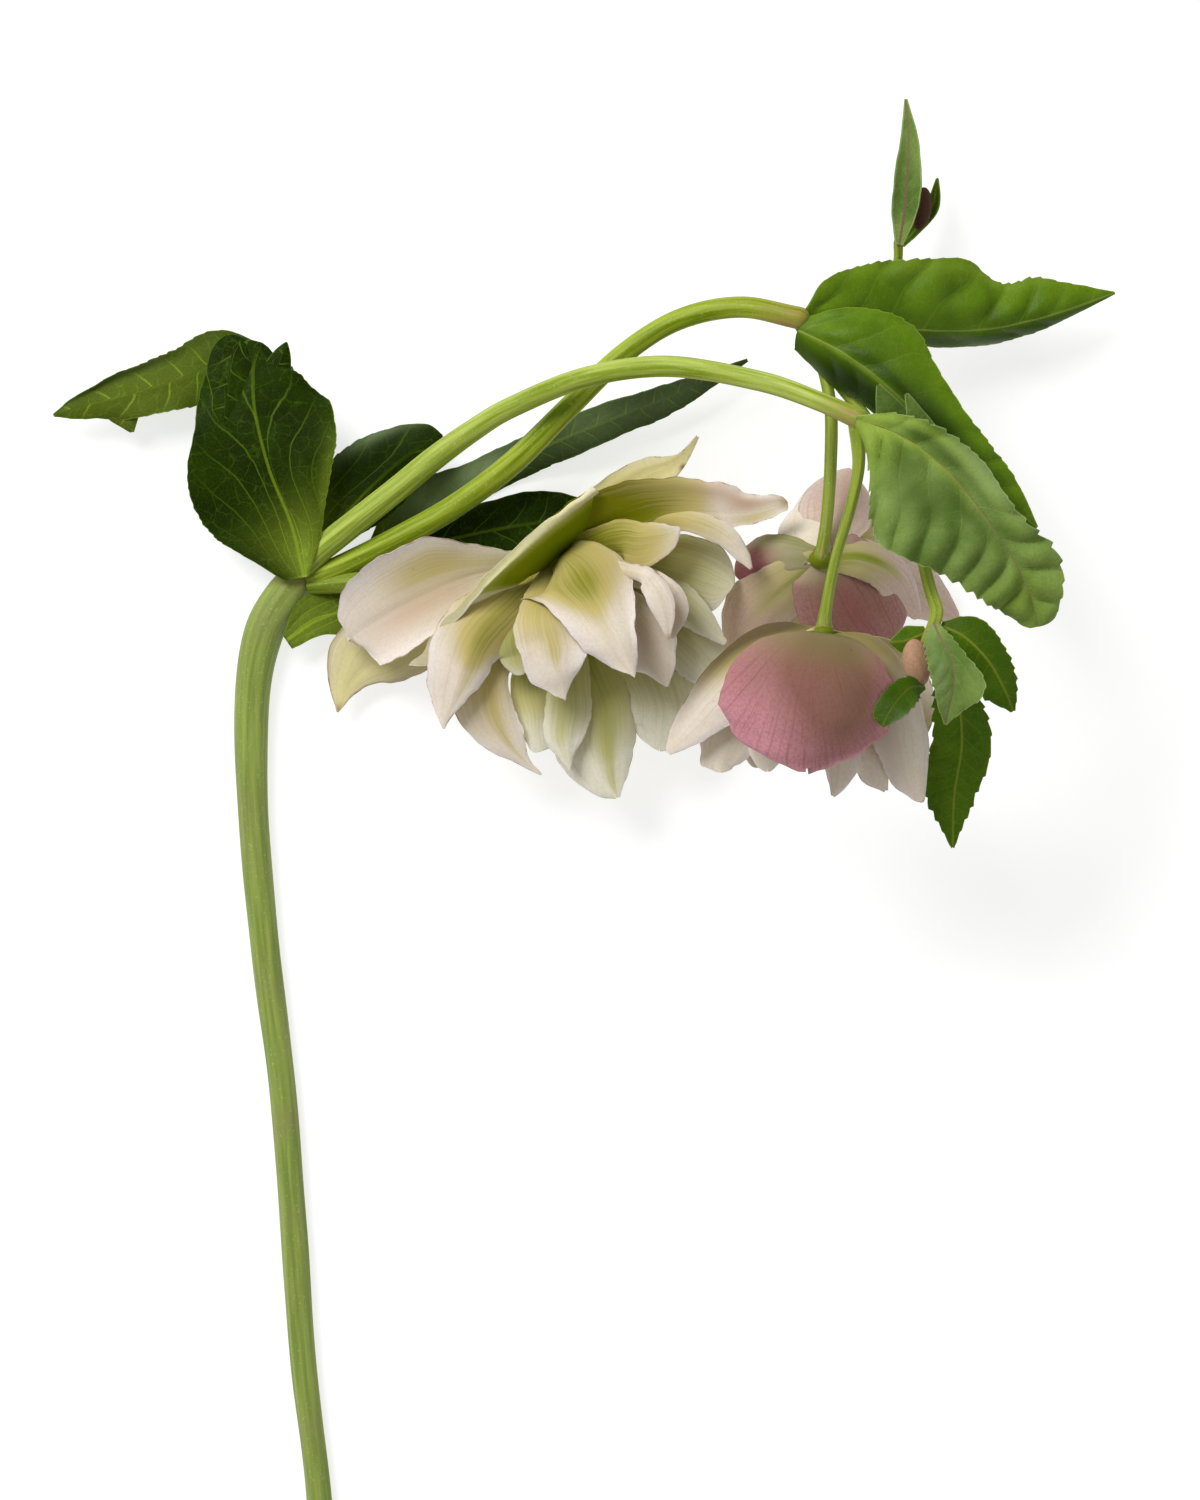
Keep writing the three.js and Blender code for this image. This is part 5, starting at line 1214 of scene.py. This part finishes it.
BACK_BLOOM_PETALS = [
    # The sepals, round the base.
    dict(
        cup=[-40], facing=[(-0.4, 0, 1)], throat=(1, 0.6), skin="mauve", wander=0.25,
        marks=[(0.75, -0.5, 0.4, 0.8, 1, 0.9), (0.5, 0.9, 0.4, 0.4, 0, 0.5)],
        stations=[(88.4, 6.4, 24, 4, 3.8), (83.6, 4.6, 18, 5, 5), (80.2, 2.8, 13, 3, 3)],
    ),
    dict(
        cup=[-25], facing=[(-0.3, 0.5, 1)], throat=(0.3, 0.4), skin="cream", wander=0.25,
        stations=[(92.6, 11, 23, 5.4, 5), (94, 16, 16, 3.4, 4.6), (96.6, 20.4, 11, 1, 2.4)],
    ),
    dict(
        cup=[-30], facing=[(0, 0.6, 1)], throat=(0.5, 0.5), wander=0.25,
        marks=[(0.6, 0.3, 0.4, 0.6, 1, 0.45)],
        stations=[(98.2, 13, 21.6, 7, 6), (99.6, 18.6, 15, 6.6, 5.6), (101, 22.2, 9, 2, 1)],
    ),
    dict(
        cup=[-30], facing=[(0.4, 0.3, 1)], throat=(1, 0.7), wander=0.25,
        marks=[(0.45, -0.1, 0.3, 0.2, 0, 0.5)],
        stations=[(103.4, 5.4, 24.6, 4.4, 3.6), (109.6, 2, 18, 4.8, 4.4), (113.6, -4.8, 11, 1, 1.4)],
    ),
    dict(
        facing=[(0.4, 0, 1)], throat=(0.6, 0.5),
        stations=[(106, 4, 18, 4.8, 4.4), (114.6, 0, 9, 4.4, 5.6), (121, -5, 0.1, 0.8, 0.8)],
    ),
    dict(
        cup=[-45], facing=[(0.1, 0.3, 1), (0.2, -0.1, 1), (0.2, -0.4, 1)], throat=(0.7, 0.4),
        heel=[0, (3, 3), (2, 3), 0, 0], skin="mauve", wander=0.3, wave=(0.5, 1.6, 0.3), columns=44,
        marks=[(0.55, 0, 0.3, 0.16, 1, 0.6), (0.4, 0.2, 0.3, 0.5, 2, 0.25)],
        stations=[
            (98, 2, 26.8, 9, 7.4), (101.4, -4, 22.6, 11.6, 9.6), (104.6, -9, 17.4, 10.4, 6),
            (106, -12, 14, 7, 2),
        ],
    ),
    dict(
        cup=[-25], facing=[(-0.2, -0.4, 1)], throat=(0.9, 0.75), wander=0.3,
        marks=[(0.45, 0, 0.3, 0.15, 0, 0.25), (0.5, 0, 0.5, 1.5, 1, 0.4)],
        stations=[(89, 0.6, 22, 5.4, 5), (83.6, -5, 14, 6, 6.4), (79.6, -12.6, 5, 2, 2)],
    ),
    # The inner petals, under the sepals.
    dict(
        skin="cream", cup=[0],
        stations=[(93, -3, 18, 4.4, 4.4), (91, -9, 8, 4, 4), (90.4, -12, 0.1, 0.8, 0.8)],
    ),
    dict(
        skin="cream", cup=[0],
        stations=[(101, 10, 17, 4.4, 4.4), (105.6, 13.4, 7, 4, 4), (107.6, 15, 0.1, 0.8, 0.8)],
    ),
    dict(
        skin="cream", cup=[0],
        stations=[(90, 6, 17, 3.6, 3.6), (86, 4.4, 8, 3.4, 3.4), (84.6, 3.6, 2, 0.6, 0.6)],
    ),
]

# A washed-out rose on cream, cloudy and softly veined: the backs of sepals seen in shade.
PETAL_SKINS["rosy"] = petal_skin(
    "rosy_sepal", pale="#D2BCAE", flush="#CCAEA2", edge="#D6C8C2", soft="#B4A878", deep="#868E2E",
    blush="#B08A74", vein="#AC8E86", brown="#7A5A44", back="#D0BCAC", veins=0.45,
)
# A deeper mauve brown with a paler brim, for the sepals that take the most colour.
PETAL_SKINS["mauve"] = petal_skin(
    "mauve_sepal", pale="#A47872", flush="#92665E", edge="#B48C8C", soft="#9C9474", deep="#7A7E48",
    blush="#A8606E", vein="#7C524E", brown="#7A5A44", back="#C0A498", veins=0.45,
)
add_bloom("back_bloom", (95.5, 5.5, 28.4), (2.2, 1.8, 2), BACK_BLOOM_PETALS, "rosy", "pink_petal", 300)

# ---------------------------------------------------------------------------
# The studio: a white table, a big soft light over the upper left, a weaker one
# opposite, and a camera that looks straight down on the flower.
# ---------------------------------------------------------------------------

# Matt card that glows a little, so it stays an even white round the soft shadows.
white_card, _, _ = new_skin(
    "white_table_card", Base_Color=colour("#ACACAC"), Roughness=0.9,
    Emission_Color=colour("#FFFFFF"), Emission_Strength=0.7,
)
bpy.ops.mesh.primitive_plane_add(size=6)
table = bpy.context.object
table.name = "table"
table.data.materials.append(white_card)

world = bpy.data.worlds.new("studio")
world.use_nodes = True
sky = world.node_tree.nodes["Background"]
sky.inputs["Color"].default_value = colour("#FFFFFF")
sky.inputs["Strength"].default_value = 0.38
bpy.context.scene.world = world

# Places of the studio in metres, and the camera's in mm, 3 m up.
FLOWER_MIDDLE = (0.06, 0, 0.02)
CAMERA_PLACE = (55.8, -28.8, 3025)


def add_light(name, place, size, power):
    """A square soft light that shines from its place on the flower."""
    lamp = bpy.data.lights.new(name, "AREA")
    lamp.size = size
    lamp.energy = power
    holder = bpy.data.objects.new(name, lamp)
    holder.location = place
    x, y, z = (b - a for a, b in zip(place, FLOWER_MIDDLE))
    holder.rotation_euler = (math.atan2(math.hypot(x, y), -z), 0, math.atan2(y, x) - math.pi / 2)
    holder.visible_camera = False
    bpy.context.scene.collection.objects.link(holder)


add_light("key_light", (-0.7, 0.9, 1.2), size=0.8, power=26)
add_light("fill_light", (1.0, -0.5, 1.3), size=1.2, power=3)

lens = bpy.data.cameras.new("camera")
lens.lens = 400
lens.sensor_width = 36
lens.sensor_fit = "AUTO"
lens.clip_end = 20
camera = bpy.data.objects.new("camera", lens)
camera.location = [value * MM for value in CAMERA_PLACE]
bpy.context.scene.collection.objects.link(camera)
bpy.context.scene.camera = camera
bpy.context.scene.view_settings.view_transform = "Standard"
